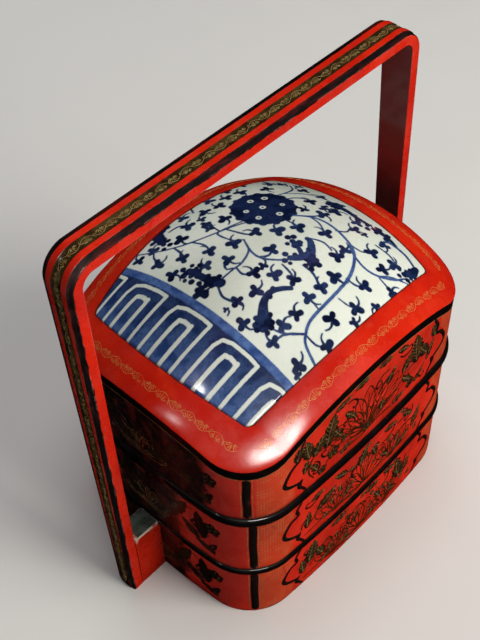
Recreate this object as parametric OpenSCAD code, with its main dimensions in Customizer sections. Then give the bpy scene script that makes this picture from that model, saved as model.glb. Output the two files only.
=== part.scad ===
// Stacked food box: a base tray with a fixed hoop handle, a loose middle tray
// and a deep lid whose domed top is a porcelain shard set in a carved frame.
// Origin at the centre of the footprint, on the surface the box stands on.
// +X runs along the long side and the plane of the handle, +Z is up.

/* [Body] */
// Length of the box between the straight-side corners, along X
body_len = 180; // [150:1:220]
// Width of the box between the straight-side corners, along Y
body_wid = 146.4; // [125:0.2:170]
// Radius of the four vertical corners
corner_r = 30; // [24:0.2:36]
// How far each side swells beyond its corners
side_bulge = 2.25; // [1:0.05:4]
// Thickness of the lacquered wooden walls
wall_t = 5; // [4:0.25:7]

/* [Tiers] */
// Height of the joint between base tray and middle tray
base_top = 46.4; // [46:0.2:54]
// Height of the joint between middle tray and lid
middle_top = 96.2; // [88:0.2:102]
// Thickness of the floor boards
floor_t = 4; // [3:0.5:5]
// Hollow left under the base tray's floor
foot_recess = 3; // [2:0.5:5]
// Height by which an inner lip stands above its tray's rim
lip_rise = 5; // [3:0.5:6]
// Thickness of the inner lips
lip_t = 3.5; // [2.5:0.25:5]
// Sideways clearance between a lip and the tier above it
lip_gap = 0.4; // [0.3:0.05:0.8]

/* [Rim beads] */
// Height of the bead round the base tray's rim
base_bead_h = 4.8; // [4:0.2:7]
// How far the base bead stands out of the wall
base_bead_out = 1.2; // [1:0.1:2.5]
// Height of the bead round the middle tray's rim
middle_bead_h = 6.4; // [5:0.2:9]
// How far the middle bead stands out of the wall
middle_bead_out = 1.7; // [1:0.1:3]

/* [Domed lid] */
// Height of the porcelain's crown above the floor
crown_z = 180; // [177:0.5:184]
// Radius of the porcelain's curve along X
shard_rx = 134.5; // [128:0.5:150]
// Radius of the porcelain's curve along Y
shard_ry = 132.5; // [120:0.5:140]
// Length of the shard along X, between corners
shard_len = 139; // [130:0.5:144]
// Width of the shard along Y, between corners
shard_wid = 109.5; // [100:0.5:113]
// Radius of the shard's worn corners
shard_corner_r = 5; // [4:0.5:9]
// How far each edge of the shard bows outward
shard_bulge = 5.2; // [4:0.1:7]
// Thickness of the shard
shard_t = 5; // [4:0.25:7]
// Crown of the arched line where the carved frame meets the lid's wall
arch_z = 186; // [183:0.5:189]
// Radius of the arched line along X
arch_rx = 131.5; // [128:0.5:150]
// Radius of the arched line along Y
arch_ry = 109; // [106:0.5:125]
// How far the frame's rolled edge overhangs the wall
frame_over = 0.3; // [0.3:0.1:1.5]
// Fullness of the frame's curve, from 1 for a quarter ellipse to 2 for a straight slope
crest_power = 1.7; // [1:0.1:2]
// Depth of the frame where it holds the shard
frame_t = 9; // [8:0.5:12]
// Depth of the frame's tongue inside the lid's wall
tongue_h = 4; // [3:0.5:6]

/* [Handle] */
// Distance across the outer faces of the uprights
handle_span = 235; // [224:1:256]
// Overall height of the handle
handle_h = 254; // [250:1:276]
// Thickness of the bar
bar_t = 7; // [5:0.2:8]
// Width of the bar at the floor
bar_w_low = 13.4; // [11:0.2:18]
// Width of the bar at the rail
bar_w_top = 19.6; // [15:0.2:22]
// Sideways offset of the top rail from the foot, from the handle's slight lean
bar_lean = 7.2; // [0:0.1:8]
// Outer radius of the handle's top corners
bar_corner_r = 15; // [12:0.5:20]
// Inner radius of the handle's top corners
bar_inner_r = 7; // [4:0.5:10]
// Height of the foot blocks that tie the uprights to the base tray
block_h = 46; // [30:0.2:46]
// Diameter of the bamboo dowels through the foot blocks
dowel_d = 4; // [3:0.1:5]

/* [Hidden] */

red = "#c8281a";
black = "#14100e";
inside_red = "#6e1410";
bamboo = "#b08a50";
glaze = "#e6ebe4";
putty = "#4a3026";

side_steps = 8;          // stations along each side of an outline
corner_steps = 10;       // stations round each corner
bead_steps = 6;          // facets across a bead
seat = 0.15;             // glue line between pieces of one body
joint_z = handle_h - 24; // where the uprights are tenoned into the rail
tenon_h = 12;
tenon_t = 2.6;
dowel_gap = 0.05;
dowel_zs = [11, 28];
backing_z = 125;
backing_t = 4;
bed_w = 8;
bed_gap = 0.6;
roll_steps = 4;
crest_steps = 8;
dome_rings = 7;
upright_in = handle_span / 2 - bar_t;
under_gap = foot_recess + 3; // hollow under the middle tray that takes the base lip

// A convex rounded rectangle as stations [centre x, centre y, radius, angle]: each side is a
// long arc that runs tangent into the corner arcs, so an inset only changes the radius.
function arc_back(c_far, c_near, swell) =
    (c_far * c_far - (2 * c_near + swell) * swell) / (2 * swell);
function stations(len, wid, r, swell) =
    let (cx = len / 2 - r, cy = wid / 2 - r,
        bx = arc_back(cy, cx, swell), by = arc_back(cx, cy, swell),
        rx = cx + swell + bx + r, ry = cy + swell + by + r,
        ax = atan(cy / (cx + bx)), ay = atan(cx / (cy + by)))
    [for (q = [0:3])
        let (flip = q % 2 == 1, turn = 90 * q,
            u = flip ? [0, -by, ry, ay] : [-bx, 0, rx, ax],
            next = flip ? ax : ay,
            sx = (q == 0 || q == 3) ? 1 : -1, sy = q < 2 ? 1 : -1,
            sgn = q < 2 ? 1 : -1)
        each concat(
            [for (i = [0:side_steps - 1])
                [u[0] * sgn, u[1] * sgn, u[2], turn - u[3] + 2 * u[3] * i / side_steps]],
            [for (i = [0:corner_steps - 1])
                [cx * sx, cy * sy, r, turn + u[3] + (90 - u[3] - next) * i / corner_steps]])];

function at(s, inset) = [s[0] + (s[2] - inset) * cos(s[3]), s[1] + (s[2] - inset) * sin(s[3])];
function outline(inset) = [for (s = body_line) at(s, inset)];
function lift(p, z) = [p[0], p[1], z];
function blend(a, b, t) = a + (b - a) * t;

// Height of a dome with its own radius along X and along Y
function dome(p, top, rx, ry) =
    top - (rx - sqrt(rx * rx - p[0] * p[0])) - (ry - sqrt(ry * ry - p[1] * p[1]));
function shard_z(p) = dome(p, crown_z, shard_rx, shard_ry);
function arch(s) = dome(at(s, 0), arch_z, arch_rx, arch_ry);

body_line = stations(body_len, body_wid, corner_r, side_bulge);
shard_line = stations(shard_len, shard_wid, shard_corner_r, shard_bulge);
count = len(body_line);

// Closed ring through one loop of points per station
module ring_solid(loops) {
    m = len(loops[0]);
    n = len(loops);
    polyhedron(points = [for (l = loops) each l], faces = [for (i = [0:n - 1]) for (j = [0:m - 1])
        let (a = i * m + j, b = i * m + (j + 1) % m, k = (i + 1) % n,
            c = k * m + (j + 1) % m, d = k * m + j)
        each [[a, b, c], [a, c, d]]]);
}

// Closed plate between an upper and a lower skin that share one outline
module shell_solid(upper, lower) {
    n = len(upper[0]);
    rings = len(upper);
    low = rings * n + 1;
    mid = rings * n;
    points = concat([for (r = upper) each r], [lift([0, 0], crown_z)],
        [for (r = lower) each r], [lift([0, 0], crown_z - shard_t)]);
    top_faces = [for (r = [0:rings - 2]) for (i = [0:n - 1])
        let (a = r * n + i, b = r * n + (i + 1) % n)
        each [[a, a + n, b + n], [a, b + n, b]]];
    faces = concat(top_faces,
        [for (i = [0:n - 1]) [(rings - 1) * n + i, mid, (rings - 1) * n + (i + 1) % n]],
        [for (f = top_faces) [f[2] + low, f[1] + low, f[0] + low]],
        [for (i = [0:n - 1]) [(rings - 1) * n + (i + 1) % n + low, mid + low, (rings - 1) * n + i + low]],
        [for (i = [0:n - 1]) let (k = (i + 1) % n) each [[i, k, k + low], [i, k + low, i + low]]]);
    polyhedron(points = points, faces = faces);
}

module wall(z0, z1, inset, t) {
    translate([0, 0, z0]) linear_extrude(z1 - z0) difference() {
        polygon(outline(inset));
        polygon(outline(inset + t));
    }
}

module board(z0, t, inset) {
    translate([0, 0, z0]) linear_extrude(t) polygon(outline(inset));
}

// Half-round moulding glued round a wall, its top level with the rim
module bead(z1, h, out) {
    ring_solid([for (s = body_line) [for (i = [0:bead_steps])
        let (a = 90 - 180 * i / bead_steps)
        lift(at(s, -seat - out * cos(a)), z1 - h / 2 + h / 2 * sin(a))]]);
}

module dowel_row(d, x0, x1) {
    for (z = dowel_zs) translate([x0, 0, z]) rotate([0, 90, 0]) cylinder(d = d, h = x1 - x0, $fn = 32);
}
module dowel_rows(d) {
    for (side = [0, 1]) mirror([side, 0, 0])
        dowel_row(d, body_len / 2 - wall_t + 1.5 + side_bulge, handle_span / 2 - 1.5);
}

module base_wall() {
    color(red) difference() {
        wall(0, base_top, 0, wall_t);
        dowel_rows(dowel_d + 2 * dowel_gap);
    }
}
module base_floor() { color(inside_red) board(foot_recess, floor_t, wall_t + seat); }
module base_bead() { color(black) bead(base_top, base_bead_h, base_bead_out); }
module tray_lip(z0, z1) {
    wall(z0, z1, wall_t + lip_gap, lip_t);
}
module base_lip() { color(black) tray_lip(foot_recess + floor_t, base_top + lip_rise); }

// Block between an upright and the base tray, hollowed to the tray's curved side and its bead
module foot_block() {
    difference() {
        translate([body_len / 2 - wall_t, -bar_w_low / 2, 0])
            cube([upright_in - seat - body_len / 2 + wall_t, bar_w_low, block_h]);
        translate([0, 0, -1]) linear_extrude(block_h + 2) polygon(outline(-seat));
        translate([0, 0, base_top - base_bead_h - seat]) linear_extrude(base_bead_h)
            polygon(outline(-base_bead_out - 2 * seat));
        dowel_row(dowel_d + 2 * dowel_gap, body_len / 2 - wall_t, handle_span / 2);
    }
}
module foot_block_right() { color(red) foot_block(); }
module foot_block_left() { color(red) mirror([1, 0, 0]) foot_block(); }
module foot_dowels() { color(bamboo) dowel_rows(dowel_d); }

// The leaning, tapering outline of the bar as seen along X, between two heights
module bar_side(z0, z1, slim) {
    function half_w(z) = (bar_w_low + (bar_w_top - bar_w_low) * z / handle_h) / 2 - slim;
    function mid_y(z) = bar_lean * z / handle_h;
    translate([-handle_span / 2, 0, 0]) rotate([90, 0, 90]) linear_extrude(handle_span)
        polygon([for (e = [[z0, -1], [z0, 1], [z1, 1], [z1, -1]]) [mid_y(e[0]) + e[1] * half_w(e[0]), e[0]]]);
}
module tenon(grow) {
    intersection() {
        translate([upright_in + (bar_t - tenon_t) / 2 - grow, -bar_w_top, joint_z - 1])
            cube([tenon_t + 2 * grow, 2 * bar_w_top, tenon_h + 1 + grow]);
        bar_side(0, handle_h, 3.5 - grow);
    }
}
module upright() {
    difference() {
        intersection() {
            translate([upright_in, -bar_w_top, 0]) cube([bar_t, 2 * bar_w_top, joint_z - seat]);
            bar_side(0, handle_h, 0);
        }
        dowel_row(dowel_d + 2 * dowel_gap, upright_in - 1, handle_span / 2 - 1.5);
    }
    tenon(0);
}
module upright_right() { color(red) upright(); }
module upright_left() { color(red) mirror([1, 0, 0]) upright(); }

module round_top(half, top, r) {
    translate([-half, 0]) square([2 * half, top - r]);
    translate([r - half, 0]) square([2 * (half - r), top]);
    for (s = [-1, 1]) translate([s * (half - r), top - r]) circle(r, $fn = 64);
}
module handle_rail() {
    color(red) difference() {
        intersection() {
            translate([0, 2 * bar_w_top, 0]) rotate([90, 0, 0]) linear_extrude(4 * bar_w_top)
                difference() {
                    round_top(handle_span / 2, handle_h, bar_corner_r);
                    round_top(upright_in, handle_h - bar_t, bar_inner_r);
                }
            bar_side(joint_z, handle_h, 0);
        }
        for (side = [0, 1]) mirror([side, 0, 0]) tenon(seat);
    }
}

module middle_wall() { color(red) wall(base_top, middle_top, 0, wall_t); }
module middle_floor() { color(inside_red) board(base_top + under_gap, floor_t, wall_t + seat); }
module middle_bead() { color(black) bead(middle_top, middle_bead_h, middle_bead_out); }
module middle_lip() {
    color(black) tray_lip(base_top + under_gap + floor_t, middle_top + lip_rise);
}

module lid_wall() {
    color(red) ring_solid([for (s = body_line)
        [lift(at(s, 0), middle_top), lift(at(s, wall_t), middle_top), lift(at(s, wall_t), arch(s)),
            lift(at(s, 0), arch(s))]]);
}

// Carved frame: a small roll over the wall, then a long crest up to the shard's edge
function frame_top(s, e) =
    let (edge = at(e, -seat), lip = shard_z(edge), z0 = arch(s) + seat, roll = frame_over + 0.2,
        start = at(s, -frame_over))
    concat(
        [for (i = [0:roll_steps - 1]) let (a = -90 + 90 * i / roll_steps)
            lift(at(s, -0.2 - roll * cos(a) + 0.4), z0 + roll + roll * sin(a))],
        [for (i = [0:crest_steps]) let (a = 90 * i / crest_steps)
            lift(blend(start, edge, 1 - pow(cos(a), crest_power)),
                blend(z0 + roll, lip, pow(sin(a), crest_power)))]);
module lid_frame() {
    color(red) ring_solid([for (i = [0:count - 1])
        let (s = body_line[i], e = shard_line[i], edge = at(e, -seat), in = at(s, wall_t + seat))
        concat([lift(in, arch(s) + seat), lift(in, arch(s) - tongue_h),
            lift(edge, shard_z(edge) - frame_t)],
            [for (k = [crest_steps + roll_steps:-1:0]) frame_top(s, e)[k]])]);
}
module shard_bed() {
    color(putty) ring_solid([for (e = shard_line)
        let (out = at(e, 0.2), in = blend([0, 0], out, 1 - bed_w / norm(out)))
        [lift(out, shard_z(out) - frame_t), lift(in, shard_z(in) - frame_t),
            lift(in, shard_z(in) - shard_t - bed_gap), lift(out, shard_z(out) - shard_t - bed_gap)]]);
}
module porcelain_shard() {
    function ring_at(k) = [for (e = shard_line) at(e, 0) * (1 - k / dome_rings)];
    color(glaze) shell_solid(
        [for (k = [0:dome_rings - 1]) [for (p = ring_at(k)) lift(p, shard_z(p))]],
        [for (k = [0:dome_rings - 1]) [for (p = ring_at(k)) lift(p, shard_z(p) - shard_t)]]);
}
module lid_backing() { color(inside_red) board(backing_z, backing_t, wall_t + seat); }

base_wall();
base_floor();
base_bead();
base_lip();
foot_block_left();
foot_block_right();
foot_dowels();
upright_left();
upright_right();
handle_rail();
middle_wall();
middle_floor();
middle_bead();
middle_lip();
lid_wall();
lid_frame();
shard_bed();
porcelain_shard();
lid_backing();
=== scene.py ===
"""Looks of the stacked food box: lacquered walls with painted panels, black beads, a carved red
frame round a blue and white porcelain shard, and a hoop handle with a gold vine.
Lengths are in millimetres in the row frame until a mesh is made, which is in metres."""
import math
import random

import bmesh
import bpy
import numpy as np
from mathutils import Matrix, Vector


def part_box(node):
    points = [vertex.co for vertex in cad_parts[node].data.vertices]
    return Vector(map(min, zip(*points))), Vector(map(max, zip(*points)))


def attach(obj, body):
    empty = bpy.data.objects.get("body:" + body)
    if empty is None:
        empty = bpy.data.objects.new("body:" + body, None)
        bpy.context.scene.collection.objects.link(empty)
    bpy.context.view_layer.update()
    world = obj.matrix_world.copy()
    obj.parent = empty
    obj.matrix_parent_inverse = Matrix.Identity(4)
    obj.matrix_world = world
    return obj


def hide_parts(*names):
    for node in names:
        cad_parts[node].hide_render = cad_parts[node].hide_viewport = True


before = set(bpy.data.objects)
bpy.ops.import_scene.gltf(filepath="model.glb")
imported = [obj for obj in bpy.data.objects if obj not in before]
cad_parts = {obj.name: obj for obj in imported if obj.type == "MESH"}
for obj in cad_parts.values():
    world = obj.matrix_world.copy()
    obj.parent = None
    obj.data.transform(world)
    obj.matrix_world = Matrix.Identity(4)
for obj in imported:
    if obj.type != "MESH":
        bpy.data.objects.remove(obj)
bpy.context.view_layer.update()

MM = 0.001
PI = math.pi

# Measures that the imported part's boxes don't give
SIDE_BULGE = 2.25
CORNER_R = 30.0
WALL_T = 5.0
LIP_GAP = 0.4
LIP_T = 3.5
SEAT = 0.15
BEAD_BASE_H, BEAD_BASE_OUT = 4.8, 1.2
BEAD_MIDDLE_H, BEAD_MIDDLE_OUT = 6.4, 1.7
SHARD_RX, SHARD_RY = 134.5, 132.5
SHARD_BULGE, SHARD_CORNER_R, SHARD_T = 5.2, 5.0, 5.0
ARCH_RX, ARCH_RY = 131.5, 109.0
FRAME_OVER, FRAME_T, TONGUE_H = 0.3, 9.0, 4.0
CREST_POWER = 1.7     # 1 makes the frame's section a quarter ellipse, 2 a straight slope
BAR_T, BAR_W_LOW, BAR_W_TOP, BAR_LEAN = 7.0, 13.4, 19.6, 7.2
BAR_OUTER_R, BAR_INNER_R = 15.0, 7.0
BAND_H = 6.0          # black band under the lid's frame
SINK = 0.25           # how far painted strokes reach into what they are painted on

SIDE_STEPS, CORNER_STEPS = 56, 24
rng = random.Random(7)


def box_mm(node):
    low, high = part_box(node)
    return np.array(low) / MM, np.array(high) / MM


# ---------------------------------------------------------------- outlines

def arc_back(far, near, swell):
    return (far * far - (2 * near + swell) * swell) / (2 * swell)


def stations(length, width, radius, swell):
    """Rows of centre x, centre y, radius and angle round a rectangle whose sides swell."""
    cx, cy = length / 2 - radius, width / 2 - radius
    bx, by = arc_back(cy, cx, swell), arc_back(cx, cy, swell)
    rx, ry = cx + swell + bx + radius, cy + swell + by + radius
    ax, ay = math.atan2(cy, cx + bx), math.atan2(cx, cy + by)
    rows = []
    for quarter in range(4):
        turn = PI / 2 * quarter
        flip = quarter % 2 == 1
        side = (0, -by, ry, ay) if flip else (-bx, 0, rx, ax)
        following = ax if flip else ay
        sx = 1 if quarter in (0, 3) else -1
        sy = 1 if quarter < 2 else -1
        for i in range(SIDE_STEPS):
            angle = turn - side[3] + 2 * side[3] * i / SIDE_STEPS
            rows.append((side[0] * sy, side[1] * sy, side[2], angle))
        for i in range(CORNER_STEPS):
            angle = turn + side[3] + (PI / 2 - side[3] - following) * i / CORNER_STEPS
            rows.append((cx * sx, cy * sy, radius, angle))
    return np.array(rows)


def at(line, inset):
    """Points of an outline moved inwards; inset is a number or one per station."""
    reach = line[:, 2] - inset
    return np.stack([line[:, 0] + reach * np.cos(line[:, 3]),
                     line[:, 1] + reach * np.sin(line[:, 3])], -1)


def dome(p, top, rx, ry):
    return (top - (rx - np.sqrt(rx * rx - p[..., 0] ** 2))
            - (ry - np.sqrt(ry * ry - p[..., 1] ** 2)))


wall_low, wall_high = box_mm("base_wall")
BASE_TOP = wall_high[2]
MIDDLE_TOP = box_mm("middle_wall")[1][2]
BODY_LEN = 2 * (wall_high[0] - SIDE_BULGE)
BODY_WID = 2 * (wall_high[1] - SIDE_BULGE)
shard_high = box_mm("porcelain_shard")[1]
CROWN = shard_high[2]
SHARD_LEN = 2 * (shard_high[0] - SHARD_BULGE)
SHARD_WID = 2 * (shard_high[1] - SHARD_BULGE)
ARCH_TOP = box_mm("lid_wall")[1][2] + ARCH_RY - math.sqrt(ARCH_RY ** 2 - wall_high[1] ** 2)
HANDLE_HALF = box_mm("upright_right")[1][0]
HANDLE_H = box_mm("handle_rail")[1][2]

body_line = stations(BODY_LEN, BODY_WID, CORNER_R, SIDE_BULGE)
shard_line = stations(SHARD_LEN, SHARD_WID, SHARD_CORNER_R, SHARD_BULGE)
COUNT = len(body_line)
wall_xy = at(body_line, 0)
wall_out = np.stack([np.cos(body_line[:, 3]), np.sin(body_line[:, 3])], -1)
arch_z = dome(wall_xy, ARCH_TOP, ARCH_RX, ARCH_RY)

# Distance round the wall, from the middle of the -Y side and growing anticlockwise from above
steps_round = np.hypot(*np.diff(np.vstack([wall_xy, wall_xy[:1]]), axis=0).T)
PERIMETER = steps_round.sum()
front = int(np.argmin(np.hypot(wall_xy[:, 0], wall_xy[:, 1] - wall_low[1])))
round_s = np.concatenate([[0], np.cumsum(steps_round)[:-1]])
round_s = (round_s - round_s[front]) % PERIMETER
order = np.argsort(round_s)


def round_wall(s, values):
    """A station value at distance s round the wall."""
    if values.ndim == 1:
        return np.interp(s % PERIMETER, round_s[order], values[order], period=PERIMETER)
    return np.stack([round_wall(s, values[:, i]) for i in range(values.shape[1])], -1)


# How far each station is from the middle of the nearer long side
from_long_side = np.abs((round_s + PERIMETER / 4) % (PERIMETER / 2) - PERIMETER / 4)


# ---------------------------------------------------------------- meshes

def new_object(name, points, faces, body, material, values=None, sharp=38):
    """A mesh from points in millimetres, riding on a body."""
    mesh = bpy.data.meshes.new(name)
    mesh.from_pydata((np.asarray(points) * MM).tolist(), [], faces)
    mesh.validate()
    for key, numbers in (values or {}).items():
        store(mesh, key, numbers)
    mesh.materials.append(material)
    mesh.shade_smooth()
    mesh.set_sharp_from_angle(angle=math.radians(sharp))
    made = bpy.data.objects.new(name, mesh)
    bpy.context.scene.collection.objects.link(made)
    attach(made, body)
    return made


def store(mesh, key, numbers):
    data = mesh.attributes.new(key, "FLOAT", "POINT").data
    data.foreach_set("value", np.asarray(numbers, np.float32).ravel())


def run_along(path):
    """Distance from a path's start to each of its points."""
    return np.concatenate([[0], np.cumsum(np.linalg.norm(np.diff(path, axis=0), axis=1))])


def widths_along(width, shares):
    """width is a number, or (start, middle, end) widths."""
    if np.isscalar(width):
        return np.full(len(shares), float(width))
    return np.interp(shares, (0, 0.5, 1), width)


def grid_faces(index):
    corners = (index[:-1, :-1], index[:-1, 1:], index[1:, 1:], index[1:, :-1])
    return np.stack(corners, -1).reshape(-1, 4).tolist()


def tube_faces(n, m):
    """Faces of n sections of m points each, closed at both ends."""
    faces = [(i * m + j, i * m + (j + 1) % m, (i + 1) * m + (j + 1) % m, (i + 1) * m + j)
             for i in range(n - 1) for j in range(m)]
    return faces + [tuple(range(m))[::-1], tuple((n - 1) * m + j for j in range(m))]


def soften(loop, corners, radius, steps=3):
    """Rounds the named corners of closed loops of points. loop is (..., points, values)."""
    rows = []
    count = loop.shape[-2]
    for j in range(count):
        here = loop[..., j, :]
        if j not in corners:
            rows.append(here)
            continue
        ends = []
        for other in (loop[..., (j - 1) % count, :], loop[..., (j + 1) % count, :]):
            gap = other - here
            size = np.linalg.norm(gap[..., :2], axis=-1, keepdims=True)
            ends.append(here + gap * np.minimum(radius / np.maximum(size, 1e-6), 0.45))
        for i in range(steps + 1):
            t = i / steps
            rows.append((1 - t) ** 2 * ends[0] + 2 * t * (1 - t) * here + t * t * ends[1])
    return np.stack(rows, -2)


def ring_faces(stations_round, section):
    """Quads of a closed ring, each with its face turned outwards for a section drawn from
    the outer lower corner, along the bottom, up the inside and back down the outside."""
    faces = []
    for i in range(stations_round):
        k = (i + 1) % stations_round
        for j in range(section):
            m = (j + 1) % section
            faces.append((i * section + j, i * section + m, k * section + m, k * section + j))
    return faces


def ring(name, line, section, body, material, keys=(), extra=None, sharp=38):
    """A ring along an outline. section is (stations, points, 2 + values): inset, height, values."""
    direction = np.stack([np.cos(line[:, 3]), np.sin(line[:, 3])], -1)
    reach = line[:, 2][:, None] - section[..., 0]
    xy = line[:, None, :2] + reach[..., None] * direction[:, None, :]
    points = np.concatenate([xy, section[..., 1:2]], -1)
    values = {key: section[..., 2 + i] for i, key in enumerate(keys)}
    for key, numbers in (extra or {}).items():
        values[key] = np.repeat(numbers[:, None], section.shape[1], 1)
    return new_object(name, points.reshape(-1, 3), ring_faces(*section.shape[:2]), body,
                      material, values, sharp)


def along(rows, count=COUNT):
    """A section from rows of values, each a number or one number per station."""
    return np.stack([np.stack([np.broadcast_to(np.asarray(v, float), (count,)) for v in row], -1)
                     for row in rows], -2)


# ---------------------------------------------------------------- node materials

def rgb(text):
    """A linear colour from a hex colour as seen on screen."""
    parts = [int(text[i:i + 2], 16) / 255 for i in (0, 2, 4)]
    return tuple(((c + 0.055) / 1.055) ** 2.4 if c > 0.04045 else c / 12.92 for c in parts) + (1,)


class Finish:
    """A node material. Each call adds nodes and returns an output socket."""

    def __init__(self, name, roughness=0.4, coat=0.0, coat_roughness=0.05, specular=0.5):
        self.material = bpy.data.materials.new(name)
        self.material.use_nodes = True
        self.tree = self.material.node_tree
        self.shader = self.tree.nodes["Principled BSDF"]
        for key, value in (("Roughness", roughness), ("Coat Weight", coat),
                           ("Coat Roughness", coat_roughness), ("Specular IOR Level", specular)):
            self.shader.inputs[key].default_value = value
        self.place = self.node("ShaderNodeTexCoord").outputs["Object"]

    def feed(self, socket, value):
        if isinstance(value, bpy.types.NodeSocket):
            self.tree.links.new(value, socket)
        else:
            socket.default_value = value

    def node(self, kind, inputs=None, **settings):
        made = self.tree.nodes.new(kind)
        for key, value in settings.items():
            setattr(made, key, value)
        for key, value in (inputs or {}).items():
            self.feed(made.inputs[key], value)
        return made

    def stretched(self, stretch):
        return self.node("ShaderNodeMapping", {"Vector": self.place, "Scale": stretch}).outputs[0]

    def noise(self, scale, detail=4.0, roughness=0.5, stretch=(1, 1, 1), distortion=0.0):
        return self.node("ShaderNodeTexNoise", {
            "Vector": self.stretched(stretch), "Scale": scale, "Detail": detail,
            "Roughness": roughness, "Distortion": distortion}).outputs["Fac"]

    def cells(self, scale, feature="F1", stretch=(1, 1, 1)):
        return self.node("ShaderNodeTexVoronoi", {
            "Vector": self.stretched(stretch), "Scale": scale}, feature=feature).outputs["Distance"]

    def step(self, value, low, high, start=0.0, end=1.0):
        return self.node("ShaderNodeMapRange", {
            "Value": value, "From Min": low, "From Max": high, "To Min": start, "To Max": end},
            interpolation_type="SMOOTHSTEP").outputs["Result"]

    def math(self, operation, a, b=0.0, c=0.0):
        made = self.node("ShaderNodeMath", operation=operation)
        for socket, value in zip(made.inputs, (a, b, c)):
            self.feed(socket, value)
        return made.outputs[0]

    def times(self, a, b):
        return self.math("MULTIPLY", a, b)

    def plus(self, a, b):
        return self.math("ADD", a, b)

    def minus(self, a, b):
        return self.math("SUBTRACT", a, b)

    def scaled(self, a, by, added):
        return self.math("MULTIPLY_ADD", a, by, added)

    def mix(self, share, a, b):
        made = self.node("ShaderNodeMix", data_type="RGBA")
        for index, value in ((0, share), (6, a), (7, b)):
            self.feed(made.inputs[index], value)
        return made.outputs[2]

    def value(self, name):
        return self.node("ShaderNodeAttribute", attribute_name=name).outputs["Fac"]

    def height(self):
        return self.node("ShaderNodeSeparateXYZ", {"Vector": self.place}).outputs["Z"]

    def finish(self, colour=None, roughness=None, bump=None, strength=0.3, distance=0.0002,
               metallic=None):
        for key, value in (("Base Color", colour), ("Roughness", roughness), ("Metallic", metallic)):
            if value is not None:
                self.feed(self.shader.inputs[key], value)
        if bump is not None:
            made = self.node("ShaderNodeBump", {
                "Height": bump, "Strength": strength, "Distance": distance})
            self.feed(self.shader.inputs["Normal"], made.outputs[0])
        return self.material


VERMILION = rgb("d22409")
VERMILION_DEEP = rgb("b21a07")
VERMILION_LIGHT = rgb("e0391a")
RED_BROWN = rgb("7c1a12")
LACQUER_BLACK = rgb("0c0908")
BLACK_WORN = rgb("2a1814")
GOLD = rgb("b0905a")
OLIVE = rgb("3a2c13")
OLIVE_DARK = rgb("170f0a")
MAROON = rgb("4c120d")


def red_base(f, deep=VERMILION_DEEP, main=VERMILION, light=VERMILION_LIGHT):
    """Lacquer red with slow drifts of tone, fine brushing and small dark pits."""
    drift = f.step(f.noise(28, 3), 0.35, 0.68)
    colour = f.mix(drift, deep, main)
    colour = f.mix(f.step(f.noise(90, 5, 0.6, (1, 1, 0.25)), 0.52, 0.78, 0, 0.5), colour, light)
    pits = f.step(f.cells(420), 0.03, 0.09, 1, 0)
    pits = f.times(pits, f.step(f.noise(60, 2), 0.56, 0.66))
    return f.mix(pits, colour, RED_BROWN), pits


# Where the wall's grounds lie, and the painted shade on the short sides, measured round it from the middle
# of a long side
DIAPER_START, DIAPER_END = 58.0, 80.0
DIAPER_PITCH_ROUND, DIAPER_PITCH_UP = 1.55, 2.6
DARK_AND_SHADE_START, DARK_AND_SHADE_END = 101.0, 109.0
DARK_AND_SHADE_SHIFT_LOW = 22.0     # how much further round the dark ground and its painted shade start on the trays


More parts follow.
